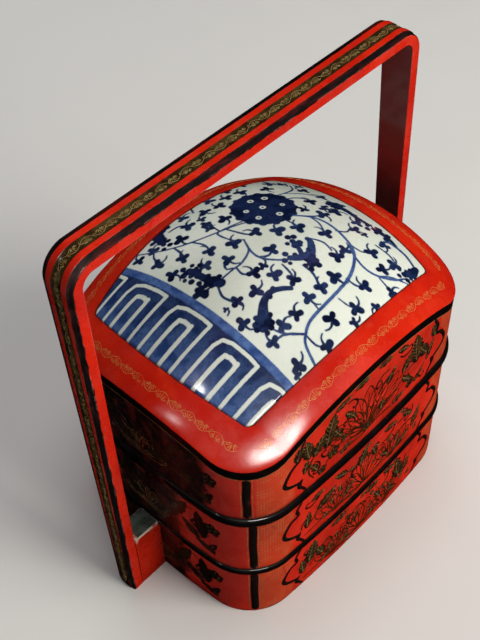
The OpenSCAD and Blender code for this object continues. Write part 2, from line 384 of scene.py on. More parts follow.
def make_wall_red():
    f = Finish("wall_red_lacquer", coat=0.08, coat_roughness=0.15, specular=0.18)
    colour, pits = red_base(f)
    side = f.value("from_long_side")
    rim = f.value("rim")
    inner = f.step(f.value("inside"), 0.45, 0.55)
    # Worn gold diaper between the corner stripe and the painted panel
    zone = f.times(f.step(side, DIAPER_START - 2, DIAPER_START + 2),
                   f.step(side, DIAPER_END - 0.5, DIAPER_END + 0.5, 1, 0))
    zone = f.times(zone, f.step(f.value("panel"), -0.4, 0.4, 1, 0))
    upright_lines = f.math("ABSOLUTE", f.math("SINE", f.times(side, PI / DIAPER_PITCH_ROUND)))
    level = f.times(f.height(), PI * 1000 / DIAPER_PITCH_UP)
    level_lines = f.math("ABSOLUTE", f.math("SINE", level))
    waver = f.noise(500, 2)
    lines = f.math("MAXIMUM",
                   f.step(f.plus(upright_lines, f.times(waver, 0.24)), 0.2, 0.38, 1, 0),
                   f.step(f.plus(level_lines, f.times(waver, 0.24)), 0.2, 0.34, 0.7, 0))
    lines = f.times(lines, f.step(f.noise(190, 3, 0.6), 0.42, 0.6, 0.15, 1))
    colour = f.mix(f.times(zone, 0.28), colour, rgb("a8562a"))
    colour = f.mix(f.times(f.times(zone, lines), 0.62), colour, GOLD)
    # Dark ground on the short sides: partly dark painted ground, partly painted shade darkening the short
    # sides
    wander = f.scaled(f.noise(70, 4, 0.6), 26, -13)
    lower = f.step(f.height(), 0.085, 0.1, DARK_AND_SHADE_SHIFT_LOW, 0)
    dark_ground_and_shade = f.step(f.minus(f.plus(side, wander), lower), DARK_AND_SHADE_START, DARK_AND_SHADE_END)
    mottle = f.step(f.noise(120, 5, 0.65, (1, 1, 0.5)), 0.3, 0.56, 0.78, 0.99)
    colour = f.mix(f.times(dark_ground_and_shade, mottle), colour, rgb("1a0b07"))
    # Darker along each tier's top and bottom rims, and age lines
    rim_darkening = f.times(f.step(rim, 0.2, 3.2, 1, 0), f.step(f.noise(160, 4), 0.38, 0.62, 0.2, 0.9))
    colour = f.mix(f.times(rim_darkening, 0.7), colour, rgb("3c120c"))
    crack = f.step(f.cells(95, "DISTANCE_TO_EDGE", (1, 1, 0.4)), 0.004, 0.016, 1, 0)
    crack = f.times(crack, f.step(f.noise(45, 2), 0.5, 0.6))
    colour = f.mix(f.times(crack, 0.5), colour, RED_BROWN)
    inside = f.mix(f.noise(60, 5, 0.6, (1, 1, 0.15)), MAROON, rgb("2a0d0a"))
    colour = f.mix(inner, colour, inside)
    rough = f.step(f.noise(110, 5, 0.6), 0.3, 0.75, 0.34, 0.56)
    peel = f.scaled(f.noise(330, 3), 1.0, f.times(f.noise(900, 2), 0.3))
    peel = f.minus(peel, f.times(f.plus(crack, pits), 0.5))
    peel = f.plus(peel, f.times(f.times(zone, lines), 0.35))
    return f.finish(colour, rough, peel, 0.35, 0.00016)


def make_frame_red():
    f = Finish("frame_red_lacquer", coat=0.8, coat_roughness=0.18, specular=0.4)
    colour, pits = red_base(f, rgb("c41a08"), rgb("d6260c"), rgb("e0391a"))
    gap = f.value("from_shard")
    inner = f.step(f.value("inside"), 0.45, 0.55)
    waver = f.scaled(f.noise(260, 3), 0.9, -0.45)
    line = f.step(f.plus(gap, waver), 0.25, 0.75, 1, 0)
    colour = f.mix(f.times(line, 0.9), colour, rgb("35100a"))
    halo = f.times(f.step(gap, 0.4, 4.5, 1, 0), f.step(f.noise(120, 4), 0.4, 0.65))
    colour = f.mix(f.times(halo, 0.35), colour, RED_BROWN)
    rubbed = f.times(f.step(f.noise(75, 5, 0.65), 0.55, 0.72), 0.3)
    colour = f.mix(rubbed, colour, rgb("d8442c"))
    colour = f.mix(inner, colour, rgb("2a0d0a"))
    rough = f.step(f.noise(95, 5, 0.6), 0.3, 0.75, 0.2, 0.4)
    swell = f.scaled(f.noise(55, 3), 2.2, f.times(f.noise(420, 3), 0.22))
    swell = f.minus(swell, f.times(f.plus(line, pits), 0.3))
    return f.finish(colour, rough, swell, 0.3, 0.0003)


def make_black(name, coat, specular):
    f = Finish(name, coat=coat, coat_roughness=0.07, specular=specular)
    wear = f.step(f.noise(140, 5, 0.65), 0.58, 0.74, 0, 0.45)
    colour = f.mix(wear, LACQUER_BLACK, BLACK_WORN)
    chips = f.times(f.step(f.cells(260), 0.05, 0.14, 1, 0), f.step(f.noise(70, 2), 0.58, 0.66))
    colour = f.mix(f.times(chips, 0.7), colour, RED_BROWN)
    rough = f.step(f.noise(120, 4), 0.3, 0.7, 0.3, 0.5)
    bump = f.scaled(f.noise(300, 4), 1.0, f.times(chips, -0.6))
    return f.finish(colour, rough, bump, 0.3, 0.0002)


def make_inside():
    f = Finish("inside_lacquer", coat=0.4, coat_roughness=0.2)
    brushed = f.noise(70, 5, 0.6, (1, 0.12, 1))
    colour = f.mix(f.step(brushed, 0.35, 0.65), rgb("2b0d0a"), rgb("6a1a13"))
    colour = f.mix(f.step(f.noise(16, 4), 0.5, 0.7, 0, 0.5), colour, rgb("170b09"))
    scratch = f.step(f.noise(60, 3, 0.5, (0.06, 1, 1)), 0.66, 0.7)
    colour = f.mix(f.times(scratch, 0.35), colour, rgb("8a4a38"))
    rough = f.step(f.noise(90, 5), 0.3, 0.7, 0.3, 0.55)
    return f.finish(colour, rough, f.plus(brushed, f.noise(400, 2)), 0.35, 0.0002)


def make_bamboo():
    f = Finish("bamboo_pin", roughness=0.5)
    fibre = f.noise(40, 5, 0.7, (0.06, 8, 8))
    colour = f.mix(f.step(fibre, 0.35, 0.65), rgb("8a6434"), rgb("c9a468"))
    return f.finish(colour, f.step(fibre, 0.3, 0.7, 0.4, 0.65), fibre, 0.4, 0.0002)


def make_putty():
    f = Finish("putty", roughness=0.8)
    grain = f.plus(f.noise(600, 4), f.noise(60, 3))
    colour = f.mix(f.step(f.noise(150, 5), 0.35, 0.65), rgb("33201a"), rgb("6a4838"))
    return f.finish(colour, f.step(f.noise(200, 3), 0.3, 0.7, 0.65, 0.95), grain, 0.7, 0.0004)


def make_paint(name, main, edge, worn_to, metal, wear_low, wear_high):
    """Raised paint that thins to what is under it."""
    f = Finish(name, coat=0.1, coat_roughness=0.2, specular=0.25)
    body = f.mix(f.step(f.noise(380, 4, 0.6), 0.35, 0.66), main, edge)
    body = f.mix(f.step(f.value("edge"), 0.35, 0.95, 0, 0.85), body, edge)
    wear = f.step(f.noise(150, 5, 0.7), wear_low, wear_high)
    colour = f.mix(wear, body, worn_to)
    shine = f.times(f.minus(1.0, wear), metal)
    rough = f.step(f.noise(300, 4), 0.3, 0.7, 0.3, 0.5)
    return f.finish(colour, rough, f.noise(700, 3), 0.3, 0.0001, shine)


def make_handle():
    f = Finish("handle_lacquer", coat=0.3, coat_roughness=0.12, specular=0.4)
    colour, pits = red_base(f, rgb("c41a08"), rgb("da260b"), rgb("e23a20"))
    waver = f.scaled(f.noise(170, 5, 0.7, (0.5, 1, 0.5)), 1.5, -0.75)
    black = f.step(f.plus(f.value("black"), waver), 0.42, 0.58)
    band = f.step(f.plus(f.value("band"), f.times(waver, 0.3)), 0.44, 0.56)
    inner = f.step(f.value("inside"), 0.4, 0.6)
    black_rub = f.step(f.noise(70, 5, 0.75, (0.3, 2.2, 0.6)), 0.5, 0.64, 0, 0.8)
    blackish = f.mix(black_rub, LACQUER_BLACK, rgb("561410"))
    brown = f.mix(f.step(f.noise(170, 4), 0.35, 0.65), rgb("2c1c0e"), rgb("48351a"))
    # The inner faces' darker maroon red is painted shade, for faces turned away from the light.
    inner_face_shade = f.mix(f.noise(70, 4, 0.6, (0.2, 1, 0.2)), rgb("8a130a"), rgb("6a0f08"))
    colour = f.mix(inner, colour, inner_face_shade)
    colour = f.mix(band, colour, brown)
    colour = f.mix(black, colour, blackish)
    # Lighter pink along the edges: partly rubbed wear, partly painted highlight on the rounded edges.
    rubbed = f.times(f.step(f.value("arris"), 0.5, 0.95), f.step(f.noise(130, 5, 0.7), 0.46, 0.6))
    colour = f.mix(f.times(rubbed, 0.45), colour, rgb("d8695a"))
    rough = f.step(f.noise(130, 5, 0.6), 0.3, 0.75, 0.2, 0.42)
    rough = f.scaled(f.math("MAXIMUM", black, inner), 0.3, rough)
    bump = f.scaled(f.noise(280, 3, 0.5, (0.4, 1, 0.4)), 1.0, f.times(pits, -0.5))
    return f.finish(colour, rough, bump, 0.3, 0.0002)


def make_block():
    f = Finish("foot_block_lacquer", coat=0.5, coat_roughness=0.12)
    colour, pits = red_base(f)
    # The top is painted grey-green: painted reflection on the block's black lacquer top.
    top = f.step(f.value("top"), 0.4, 0.6)
    colour = f.mix(top, colour, f.mix(f.step(f.noise(200, 4), 0.35, 0.65), rgb("3c423a"), rgb("5c6258")))
    # Pale marks along the upper edges: partly chipped lacquer, partly painted glint on the edges.
    chips_and_glint = f.times(f.step(f.value("arris"), 0.35, 0.8), f.step(f.noise(240, 5, 0.7), 0.42, 0.52))
    colour = f.mix(chips_and_glint, colour, rgb("cfc6b0"))
    rough = f.step(f.noise(130, 5, 0.6), 0.3, 0.75, 0.2, 0.42)
    bump = f.minus(f.noise(280, 3), f.times(f.plus(pits, chips_and_glint), 0.7))
    return f.finish(colour, rough, bump, 0.35, 0.0002)


def make_porcelain():
    f = Finish("blue_white_porcelain", coat=1.0, coat_roughness=0.09)
    ink, tone = f.value("ink"), f.value("tone")
    body = f.mix(f.step(f.noise(22, 3), 0.35, 0.65), rgb("e0e6d6"), rgb("ebeee0"))
    body = f.mix(f.step(f.noise(240, 5, 0.7), 0.5, 0.75, 0, 0.35), body, rgb("ccd6c8"))
    specks = f.times(f.step(f.cells(210), 0.02, 0.06, 1, 0), f.step(f.noise(90, 2), 0.6, 0.68))
    body = f.mix(f.times(specks, 0.6), body, rgb("7e7a60"))
    edge = f.scaled(f.noise(520, 3, 0.6), 0.5, -0.25)
    edged = f.plus(ink, edge)
    cover = f.step(edged, -0.16, 0.3)
    halo = f.step(edged, -0.9, 0.15, 0, 0.28)
    wash = f.mix(tone, rgb("6688c4"), rgb("121d4a"))
    pool = f.mix(tone, rgb("345496"), rgb("070b24"))
    grain = f.step(f.noise(420, 5, 0.75), 0.36, 0.64)
    cloud = f.step(f.noise(110, 3), 0.4, 0.62)
    inked = f.mix(f.math("MAXIMUM", f.times(grain, 0.7), cloud), wash, pool)
    rim = f.step(ink, 0.15, 0.75, 0.5, 0)
    inked = f.mix(rim, inked, pool)
    colour = f.mix(halo, body, rgb("9fb2c8"))
    colour = f.mix(cover, colour, inked)
    broken = f.step(f.value("broken"), 0.4, 0.6)
    colour = f.mix(broken, colour, rgb("b9b3a2"))
    rough = f.step(f.noise(60, 4), 0.3, 0.7, 0.22, 0.34)
    waves = f.scaled(f.noise(45, 2), 1.6, f.times(f.noise(300, 3), 0.16))
    waves = f.minus(waves, f.times(specks, 0.1))
    return f.finish(colour, rough, waves, 0.25, 0.0003)


def make_ground():
    f = Finish("pale_floor", roughness=0.7)
    colour = f.mix(f.noise(3, 3), rgb("dad7d2"), rgb("e2dfda"))
    return f.finish(colour, f.step(f.noise(30, 3), 0.3, 0.7, 0.6, 0.75), f.noise(200, 3), 0.05, 0.0002)


wall_red = make_wall_red()
frame_red = make_frame_red()
bead_black = make_black("bead_black_lacquer", 1.0, 0.3)
band_black = make_black("band_black_lacquer", 0.05, 0.2)
inside_finish = make_inside()
bamboo_finish = make_bamboo()
putty_finish = make_putty()
handle_finish = make_handle()
block_finish = make_block()
porcelain_finish = make_porcelain()
gold_line = make_paint("gold_line", rgb("c2a268"), rgb("8a6434"), rgb("b03520"), 0.35, 0.5, 0.66)
gold_faint = make_paint("gold_faint", rgb("dca060"), rgb("c07838"), rgb("c4400f"), 0.2, 0.5, 0.7)
gold_on_dark = make_paint("gold_on_dark", rgb("cdb272"), rgb("9a7c42"), rgb("4a3018"), 0.3, 0.6, 0.76)
leaf_paint = make_paint("olive_leaf_paint", OLIVE, OLIVE_DARK, rgb("6e2b16"), 0.1, 0.6, 0.74)
dark_paint = make_paint("black_line_paint", rgb("1c1410"), rgb("120d0b"), rgb("6a2014"), 0.0, 0.58, 0.72)
brown_paint = make_paint("brown_petal_paint", rgb("4e2208"), rgb("341506"), rgb("a02008"), 0.0, 0.54, 0.74)

# ---------------------------------------------------------------- walls, beads and lips

# The painted panel's pointed end: distance from its middle against height in its tier
PANEL_END = ((49.5, 0.0), (51.5, 0.08), (54.0, 0.17), (53.6, 0.24), (57.5, 0.29), (62.3, 0.37),
             (64.6, 0.47), (63.2, 0.58), (59.6, 0.68), (54.6, 0.72), (55.5, 0.84), (51.0, 1.0))


def panel_reach(share):
    return np.interp(share, [p[1] for p in PANEL_END], [p[0] for p in PANEL_END])


def wall(name, body, nodes, low, high):
    """A tier's wall with rounded rims; high may differ round the wall."""
    rows = [(0, low, 0, 0), (WALL_T / 2, low, 0, 0), (WALL_T, low, 1, 0), (WALL_T, high, 1, 0),
            (WALL_T / 2, high, 0, 0)]
    shares = [1.0, 0.93] + list(np.linspace(0.86, 0.14, 19)) + [0.07]
    for share in shares:
        z = low + (high - low) * share
        rows.append((0, z, 0, np.minimum(share, 1 - share) * (high - low)))
    section = along(rows)
    section = soften(section, (0, 2, 3, 5), 0.6)
    tall = np.broadcast_to(np.asarray(high, float), (COUNT,)) - low
    share = (section[..., 1] - low) / tall[:, None]
    inside_panel = panel_reach(share) - from_long_side[:, None]
    section = np.concatenate([section, inside_panel[..., None]], -1)
    made = ring(name, body_line, section, body, wall_red,
                ("inside", "rim", "panel"), {"from_long_side": from_long_side})
    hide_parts(*nodes)


wall("base_wall_shell", "base", ["base_wall"], 0.0, BASE_TOP)
wall("middle_wall_shell", "middle_tray", ["middle_wall"], BASE_TOP, MIDDLE_TOP)
wall("lid_wall_shell", "lid", ["lid_wall"], MIDDLE_TOP, arch_z)


def bead(name, body, node, top, height, out):
    """Half-round moulding with its back let a little into the wall."""
    rows = [(0.3, top - height)]
    for i in range(17):
        a = -PI / 2 + PI * i / 16
        rows.append((-SEAT - out * math.cos(a), top - height / 2 + height / 2 * math.sin(a)))
    rows.append((0.3, top))
    made = ring(name, body_line, along(rows)[:, ::-1], body, bead_black)
    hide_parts(node)


bead("base_rim_bead", "base", "base_bead", BASE_TOP, BEAD_BASE_H, BEAD_BASE_OUT)
bead("middle_rim_bead", "middle_tray", "middle_bead", MIDDLE_TOP, BEAD_MIDDLE_H, BEAD_MIDDLE_OUT)


def lip(name, body, node):
    low, high = box_mm(node)
    inset = WALL_T + LIP_GAP
    rows = [(inset, low[2]), (inset + LIP_T, low[2]), (inset + LIP_T, high[2]), (inset, high[2])]
    section = soften(along(rows), (0, 1, 2, 3), 1.1, 4)
    made = ring(name, body_line, section, body, bead_black)
    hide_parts(node)


lip("base_inner_lip", "base", "base_lip")
lip("middle_inner_lip", "middle_tray", "middle_lip")

band_rows = along([(0.2, arch_z - BAND_H), (0.2, arch_z + 0.6), (-0.1, arch_z + 0.6),
                   (-0.12, arch_z - BAND_H * 0.4), (-0.1, arch_z - BAND_H)])
ring("lid_black_band", body_line, soften(band_rows, (4,), 0.08), "lid", band_black)

# ---------------------------------------------------------------- lid frame

ROLL_STEPS, CREST_STEPS = 10, 40


def frame_crest():
    """The frame's outer skin at each station, from the roll over the wall to the shard's edge."""
    roll = FRAME_OVER + 0.2
    edge = at(shard_line, -SEAT)
    lip_z = dome(edge, CROWN, SHARD_RX, SHARD_RY)
    start = at(body_line, -FRAME_OVER)
    low = arch_z + SEAT
    rows = []
    for i in range(ROLL_STEPS):
        a = -PI / 2 + PI / 2 * i / ROLL_STEPS
        xy = at(body_line, 0.2 - roll * math.cos(a))
        rows.append(np.column_stack([xy, low + roll + roll * math.sin(a)]))
    for i in range(CREST_STEPS + 1):
        a = PI / 2 * i / CREST_STEPS
        xy = start + (edge - start) * (1 - math.cos(a) ** CREST_POWER)
        rise = (lip_z - low - roll) * math.sin(a) ** CREST_POWER
        rows.append(np.column_stack([xy, low + roll + rise]))
    return np.stack(rows, 1), edge, lip_z


crest, shard_edge, shard_edge_z = frame_crest()
step_length = np.linalg.norm(np.diff(crest, axis=1), axis=-1)
crest_run = np.concatenate([np.zeros((COUNT, 1)), np.cumsum(step_length, 1)], 1)
from_shard = crest_run[:, -1:] - crest_run

tongue = at(body_line, WALL_T + SEAT)
under = [np.column_stack([tongue, arch_z + SEAT]), np.column_stack([tongue, arch_z - TONGUE_H]),
         np.column_stack([shard_edge, shard_edge_z - FRAME_T])]
frame_points = np.concatenate([np.stack(under, 1), crest[:, ::-1]], 1)
frame_gap = np.concatenate([np.full((COUNT, 3), 20.0), from_shard[:, ::-1]], 1)
frame_inside = np.zeros(frame_points.shape[:2])
frame_inside[:, :3] = 1
lid_frame = new_object("lid_frame_carved", frame_points.reshape(-1, 3),
                       ring_faces(*frame_points.shape[:2]), "lid", frame_red,
                       {"from_shard": frame_gap, "inside": frame_inside}, 50)
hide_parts("lid_frame")

# ---------------------------------------------------------------- painted strokes

def curve(points, step=0.8):
    """A smooth path through points, with a row about every step."""
    p = np.asarray(points, float)
    if len(p) < 3:
        count = max(2, int(np.linalg.norm(p[-1] - p[0]) / step) + 1)
        return p[0] + (p[-1] - p[0]) * np.linspace(0, 1, count)[:, None]
    q = np.vstack([2 * p[0] - p[1], p, 2 * p[-1] - p[-2]])
    rows = []
    for i in range(1, len(q) - 2):
        count = max(2, int(np.linalg.norm(q[i + 1] - q[i]) / step))
        t = np.linspace(0, 1, count, endpoint=False)[:, None]
        rows.append(0.5 * (2 * q[i] + (q[i + 1] - q[i - 1]) * t
                           + (2 * q[i - 1] - 5 * q[i] + 4 * q[i + 1] - q[i + 2]) * t ** 2
                           + (3 * q[i] - q[i - 1] - 3 * q[i + 1] + q[i + 2]) * t ** 3))
    rows.append(p[-1:])
    return np.vstack(rows)


class Paint:
    """Strokes and pads drawn in surface coordinates, then laid on a surface as one mesh."""

    def __init__(self):
        self.points, self.edges, self.faces, self.count = [], [], [], 0

    def add(self, points, edge, faces):
        self.points.append(points)
        self.edges.append(edge)
        self.faces += [tuple(i + self.count for i in face) for face in faces]
        self.count += len(points)

    def stroke(self, path, width, lift=0.06, taper=0.5):
        """A raised line. width is a number, or (start, middle, end) widths."""
        p = np.asarray(path, float)
        run = run_along(p)
        total = run[-1]
        widths = widths_along(width, run / total)
        end = np.minimum(run, total - run)
        reach = taper * widths.max() + 1e-3
        widths = widths * np.sqrt(np.clip(1 - (1 - np.minimum(end / reach, 1)) ** 2, 0.05, 1))
        tangent = np.gradient(p, axis=0)
        tangent /= np.linalg.norm(tangent, axis=1)[:, None] + 1e-9
        normal = np.stack([-tangent[:, 1], tangent[:, 0]], -1)
        offsets = ((0.5, -SINK), (0.42, lift * 0.7), (0, lift), (-0.42, lift * 0.7), (-0.5, -SINK))
        rows = [np.column_stack([p + normal * (widths * side)[:, None], np.full(len(p), up)])
                for side, up in offsets]
        points = np.stack(rows, 1).reshape(-1, 3)
        self.add(points, np.tile([1.0, 0.8, 0.0, 0.8, 1.0], len(p)), tube_faces(len(p), len(offsets)))

    def pad(self, outline, lift=0.05):
        """A raised filled shape, whose outline can all be seen from its middle."""
        p = np.asarray(outline, float)
        area = np.roll(p, -1, 0)
        if (p[:, 0] * area[:, 1] - area[:, 0] * p[:, 1]).sum() < 0:
            p = p[::-1]
        n, middle = len(p), p.mean(0)
        levels = ((1.0, -SINK, 1.0), (0.985, lift * 0.6, 1.0), (0.86, lift, 0.55), (0.55, lift, 0.0),
                  (0.25, lift, 0.0))
        rings = [np.column_stack([middle + (p - middle) * share, np.full(n, up)])
                 for share, up, _ in levels]
        points = np.vstack(rings + [[[*middle, lift], [*middle, -SINK]]])
        edge = np.concatenate([np.full(n, e) for _, _, e in levels] + [[0.0, 0.0]])
        top, base = len(levels) * n, len(levels) * n + 1
        faces = [(r * n + i, r * n + (i + 1) % n, (r + 1) * n + (i + 1) % n, (r + 1) * n + i)
                 for r in range(len(levels) - 1) for i in range(n)]
        faces += [((len(levels) - 1) * n + i, (len(levels) - 1) * n + (i + 1) % n, top) for i in range(n)]
        faces += [((i + 1) % n, i, base) for i in range(n)]
        self.add(points, edge, faces)

    def lay(self, name, place, body, slot, material):
        points = place(np.vstack(self.points))
        return new_object(name, points, self.faces, body, material,
                          {"edge": np.concatenate(self.edges)}, 60)


def on_wall(points):
    """s round the wall, height, lift -> point."""
    xy = round_wall(points[:, 0], wall_xy)
    out = round_wall(points[:, 0], wall_out)
    return np.column_stack([xy + out * points[:, 2:3], points[:, 1]])


def turned(shape, centre, angle):
    c, s = math.cos(angle), math.sin(angle)
    return np.asarray(shape) @ np.array([[c, s], [-s, c]]) + np.asarray(centre)


def leaf_outline(length, width, teeth):
    """A pointed leaf along +x about its middle, with notched edges."""
    t = np.linspace(0, 1, 26)
    half = width / 2 * np.sin(PI * t ** 0.8) ** 0.85 * (1 + 0.14 * np.sin(2 * PI * teeth * t))
    x = (t - 0.5) * length
    upper = np.column_stack([x, half + 0.12])
    lower = np.column_stack([x, -half - 0.12])[::-1]
    return np.vstack([upper, lower])


def leaf(fill, veins, centre, length, width, angle, teeth=4):
    fill.pad(turned(leaf_outline(length, width, teeth), centre, angle), 0.05 + rng.random() * 0.01)
    rib = np.column_stack([np.linspace(-0.46, 0.46, 12) * length,
                           np.sin(np.linspace(0, PI, 12)) * width * 0.05])
    veins.stroke(turned(rib, centre, angle), 0.42, 0.09)
    count = max(3, int(length / 3.2))
    for i in range(count):
        x = (-0.34 + 0.66 * i / (count - 1)) * length
        half = width / 2 * math.sin(PI * (x / length + 0.5)) * 0.8
        for side in (-1, 1):
            path = curve([(x, 0), (x + 0.35 * half, side * half * 0.55), (x + half, side * half)], 0.9)
            veins.stroke(turned(path, centre, angle), 0.3, 0.08)


def rosette(fill, veins, centre, radius, lobes, angle):
    """A small rounded flower or lobed leaf."""
    a = np.linspace(0, 2 * PI, 8 * lobes, endpoint=False)
    r = radius * (0.72 + 0.28 * np.abs(np.cos(a * lobes / 2)) ** 0.7)
    fill.pad(turned(np.column_stack([r * np.cos(a), r * np.sin(a)]), centre, angle),
             0.05 + rng.random() * 0.01)
    for i in range(lobes):
        b = 2 * PI * i / lobes
        path = [(0.25 * radius * math.cos(b), 0.25 * radius * math.sin(b)),
                (0.8 * radius * math.cos(b), 0.8 * radius * math.sin(b))]
        veins.stroke(turned(curve(path, 0.7), centre, angle), 0.32, 0.085)


def petal_fan(paint, base, count, low, high, length, width, stroke):
    """Open petals drawn in outline, fanned out from one point."""
    for i in range(count):
        a = low + (high - low) * i / (count - 1)
        reach = length * (0.86 + 0.28 * rng.random())
        half = width * (0.8 + 0.4 * rng.random())
        shape = [(0, 0), (reach * 0.35, half * 0.7), (reach * 0.75, half), (reach, half * 0.25),
                 (reach * 0.96, -half * 0.35), (reach * 0.7, -half), (reach * 0.33, -half * 0.6), (0.6, 0)]
        paint.stroke(turned(curve(shape, 1.0), base, a), stroke, 0.05)
        ribs = [(reach * 0.2, 0), (reach * 0.55, half * 0.12), (reach * 0.88, 0)]
        paint.stroke(turned(curve(ribs, 1.0), base, a), stroke * 0.7, 0.045)


def curl(paint, start, reach, angle, turn, width):
    """A stem that ends in a hook."""
    shape = [(0, 0), (reach * 0.4, turn * reach * 0.18), (reach * 0.8, turn * reach * 0.1),
             (reach, -turn * reach * 0.18), (reach * 0.82, -turn * reach * 0.36),
             (reach * 0.66, -turn * reach * 0.24)]
    paint.stroke(turned(curve(shape, 0.7), start, angle), (width * 0.7, width, width * 0.8), 0.06)


class Tier:
    """The painting on one tier, in four layers."""

    def __init__(self, name, body, low, high, stripe):
        self.name, self.body, self.low, self.high, self.stripe = name, body, low, high, stripe
        self.centre = 0.0     # middle of the side being painted, as a distance round the wall
        self.lines, self.fills, self.veins, self.petals = Paint(), Paint(), Paint(), Paint()

    def top(self, s):
        """Height of the tier's painted field at distance s round the wall."""
        if self.name == "lid":
            return round_wall(np.asarray(s, float), arch_z) - BAND_H
        return np.full(np.shape(s), self.high)

    def spot(self, x, share):
        s = self.centre + x
        high = float(self.top(np.array([s]))[0])
        return np.array([s, self.low + (high - self.low) * share])

    def spots(self, pairs, flip=1):
        return np.array([self.spot(flip * x, share) for x, share in pairs])

    def leaves(self, rows, teeth=4):
        for x, share, length, width, angle in rows:
            leaf(self.fills, self.veins, self.spot(x, share), length, width, math.radians(angle), teeth)

    def stems(self, rows, width, flip=1):
        for stem in rows:
            self.petals.stroke(curve(self.spots(stem, flip), 0.8), width, 0.055)

    def curls(self, rows):
        for x, share, reach, angle, turn in rows:
            curl(self.lines, self.spot(x, share), reach, math.radians(angle), turn, 1.5)

    def lay(self):
        layers = ((self.lines, "lines", dark_paint), (self.fills, "leaves", leaf_paint),
                  (self.veins, "gold", gold_line), (self.petals, "petals", brown_paint))
        for paint, label, material in layers:
            slot = "black_lacquer" if label == "lines" else "red_lacquer"
            paint.lay(f"{self.name}_painted_{label}", on_wall, self.body, slot, material)


def panel(tier):
    """Corner stripes and the pointed ends of the panel on a long side."""
    for flip in (-1, 1):
        x = flip * tier.stripe
        heights = np.linspace(0, 1.012, 18)
        path = tier.spots([(x + 0.15 * math.sin(9 * h + tier.centre), h) for h in heights])
        tier.lines.stroke(path, 4.9, 0.07, taper=0.02)
        for beside in (-2.9, 2.9):
            tier.veins.stroke(tier.spots([(x + beside, h) for h in heights]), 0.4, 0.07)
        ends = tier.spots([(reach, share) for reach, share in PANEL_END], flip)
        tier.lines.stroke(curve(ends, 0.7), (2.0, 3.2, 2.4), 0.08)
        step = tier.spots([(52.4, 0.29), (54.4, 0.21), (53.4, 0.11)], flip)
        tier.lines.stroke(curve(step, 0.6), (2.4, 4.2, 1.6), 0.085)


# Painting of the walls, as listed. Leaves: distance from the middle of the side, share of the
# height, length, width, angle in degrees. Stems: points. Curls: place, reach, angle, turn.
LID_LEAVES = (
    (-33, 0.68, 25, 11, 78), (-41, 0.62, 15, 8, 60), (-27, 0.52, 12, 6, 120),
    (36, 0.72, 25, 11, 98), (43, 0.6, 15, 8, 125), (28, 0.62, 14, 7, 62), (-49, 0.74, 17, 8, 100),
    (-55, 0.84, 12, 7, 78), (50, 0.5, 15, 5, 70), (52, 0.8, 12, 6, 110),
)
LID_SMALL_LEAVES = (
    (-24, 0.92, 13, 12), (-10, 0.95, 12, 4), (8, 0.95, 12, -4), (23, 0.91, 11, -24),
    (-18, 0.62, 14, -52), (29, 0.34, 13, -48), (23, 0.14, 11, 8), (41, 0.2, 10, 40),
    (-44, 0.3, 11, 120), (-20, 0.14, 10, 20), (14, 0.66, 12, 55), (-50, 0.46, 11, 80),
    (8, 0.3, 8, 80),
)
LID_FLOWERS = (
    (-30, 0.26, 4.6), (-38, 0.12, 3.6), (-4, 0.16, 3.4), (33, 0.2, 3.8), (-22, 0.34, 3.0),
)
LID_STEMS = (
    ((-28, 0.42), (-34, 0.34), (-33, 0.24), (-38, 0.12)),
    ((-28, 0.42), (-20, 0.36), (-10, 0.28), (-4, 0.2)),
    ((28, 0.46), (20, 0.34), (10, 0.26), (-2, 0.2)), ((30, 0.42), (33, 0.3), (38, 0.17)),
    ((-34, 0.55), (-30, 0.47), (-28, 0.42)), ((35, 0.55), (31, 0.48), (28, 0.46)),
    ((-20, 0.12), (-8, 0.1), (6, 0.14), (18, 0.1)),
    ((-44, 0.1), (-48, 0.3), (-45, 0.5), (-36, 0.5)),
)
LID_CURLS = (
    (-22, 0.86, 11, -30, 1), (12, 0.78, 12, 200, -1), (20, 0.84, 11, -20, -1),
    (-44, 0.4, 11, -70, 1), (46, 0.34, 11, 250, -1), (-30, 0.3, 10, 160, 1), (4, 0.5, 12, 40, 1),
    (-14, 0.44, 11, 130, -1),
)
BASE_LEAVES = (
    (-43, 0.66, 20, 10, 78), (-36, 0.48, 14, 7, 120), (33, 0.62, 20, 10, 100), (41, 0.5, 14, 7, 60),
    (-20, 0.86, 15, 5.5, 8), (8, 0.86, 14, 5.5, -6), (24, 0.86, 12, 5.5, -16),
    (-50, 0.46, 15, 6, 96), (-28, 0.28, 12, 5, 30), (28, 0.26, 12, 5, 150), (-6, 0.5, 12, 5, 60),
    (14, 0.5, 12, 5, 120), (-14, 0.22, 10, 4.4, 10), (10, 0.2, 10, 4.4, 160),
)
MIDDLE_LEAVES = (
    (-33, 0.56, 17, 8, 30), (-22, 0.78, 13, 5.5, 150), (-4, 0.74, 14, 8, 70), (6, 0.62, 11, 5, 110),
    (31, 0.22, 15, 6, 20), (45, 0.44, 17, 6, 70), (-47, 0.42, 15, 5.5, 84), (20, 0.8, 13, 5, -12),
    (36, 0.7, 13, 5, -40), (-40, 0.8, 11, 5, 10), (-15, 0.28, 11, 4.6, 30), (16, 0.3, 11, 4.6, 140),
)
TRAY_SEEDS = (
    (-28, 0.38, 60), (-12, 0.36, 45), (7, 0.38, 50), (27, 0.38, 55), (-13, 0.69, 0), (8, 0.7, 130),
    (-12, 0.1, 20), (38, 0.3, 70), (-22, 0.5, 80), (20, 0.56, 30), (0, 0.88, 10), (30, 0.88, 160),
    (-34, 0.18, 30), (46, 0.2, 50),
)
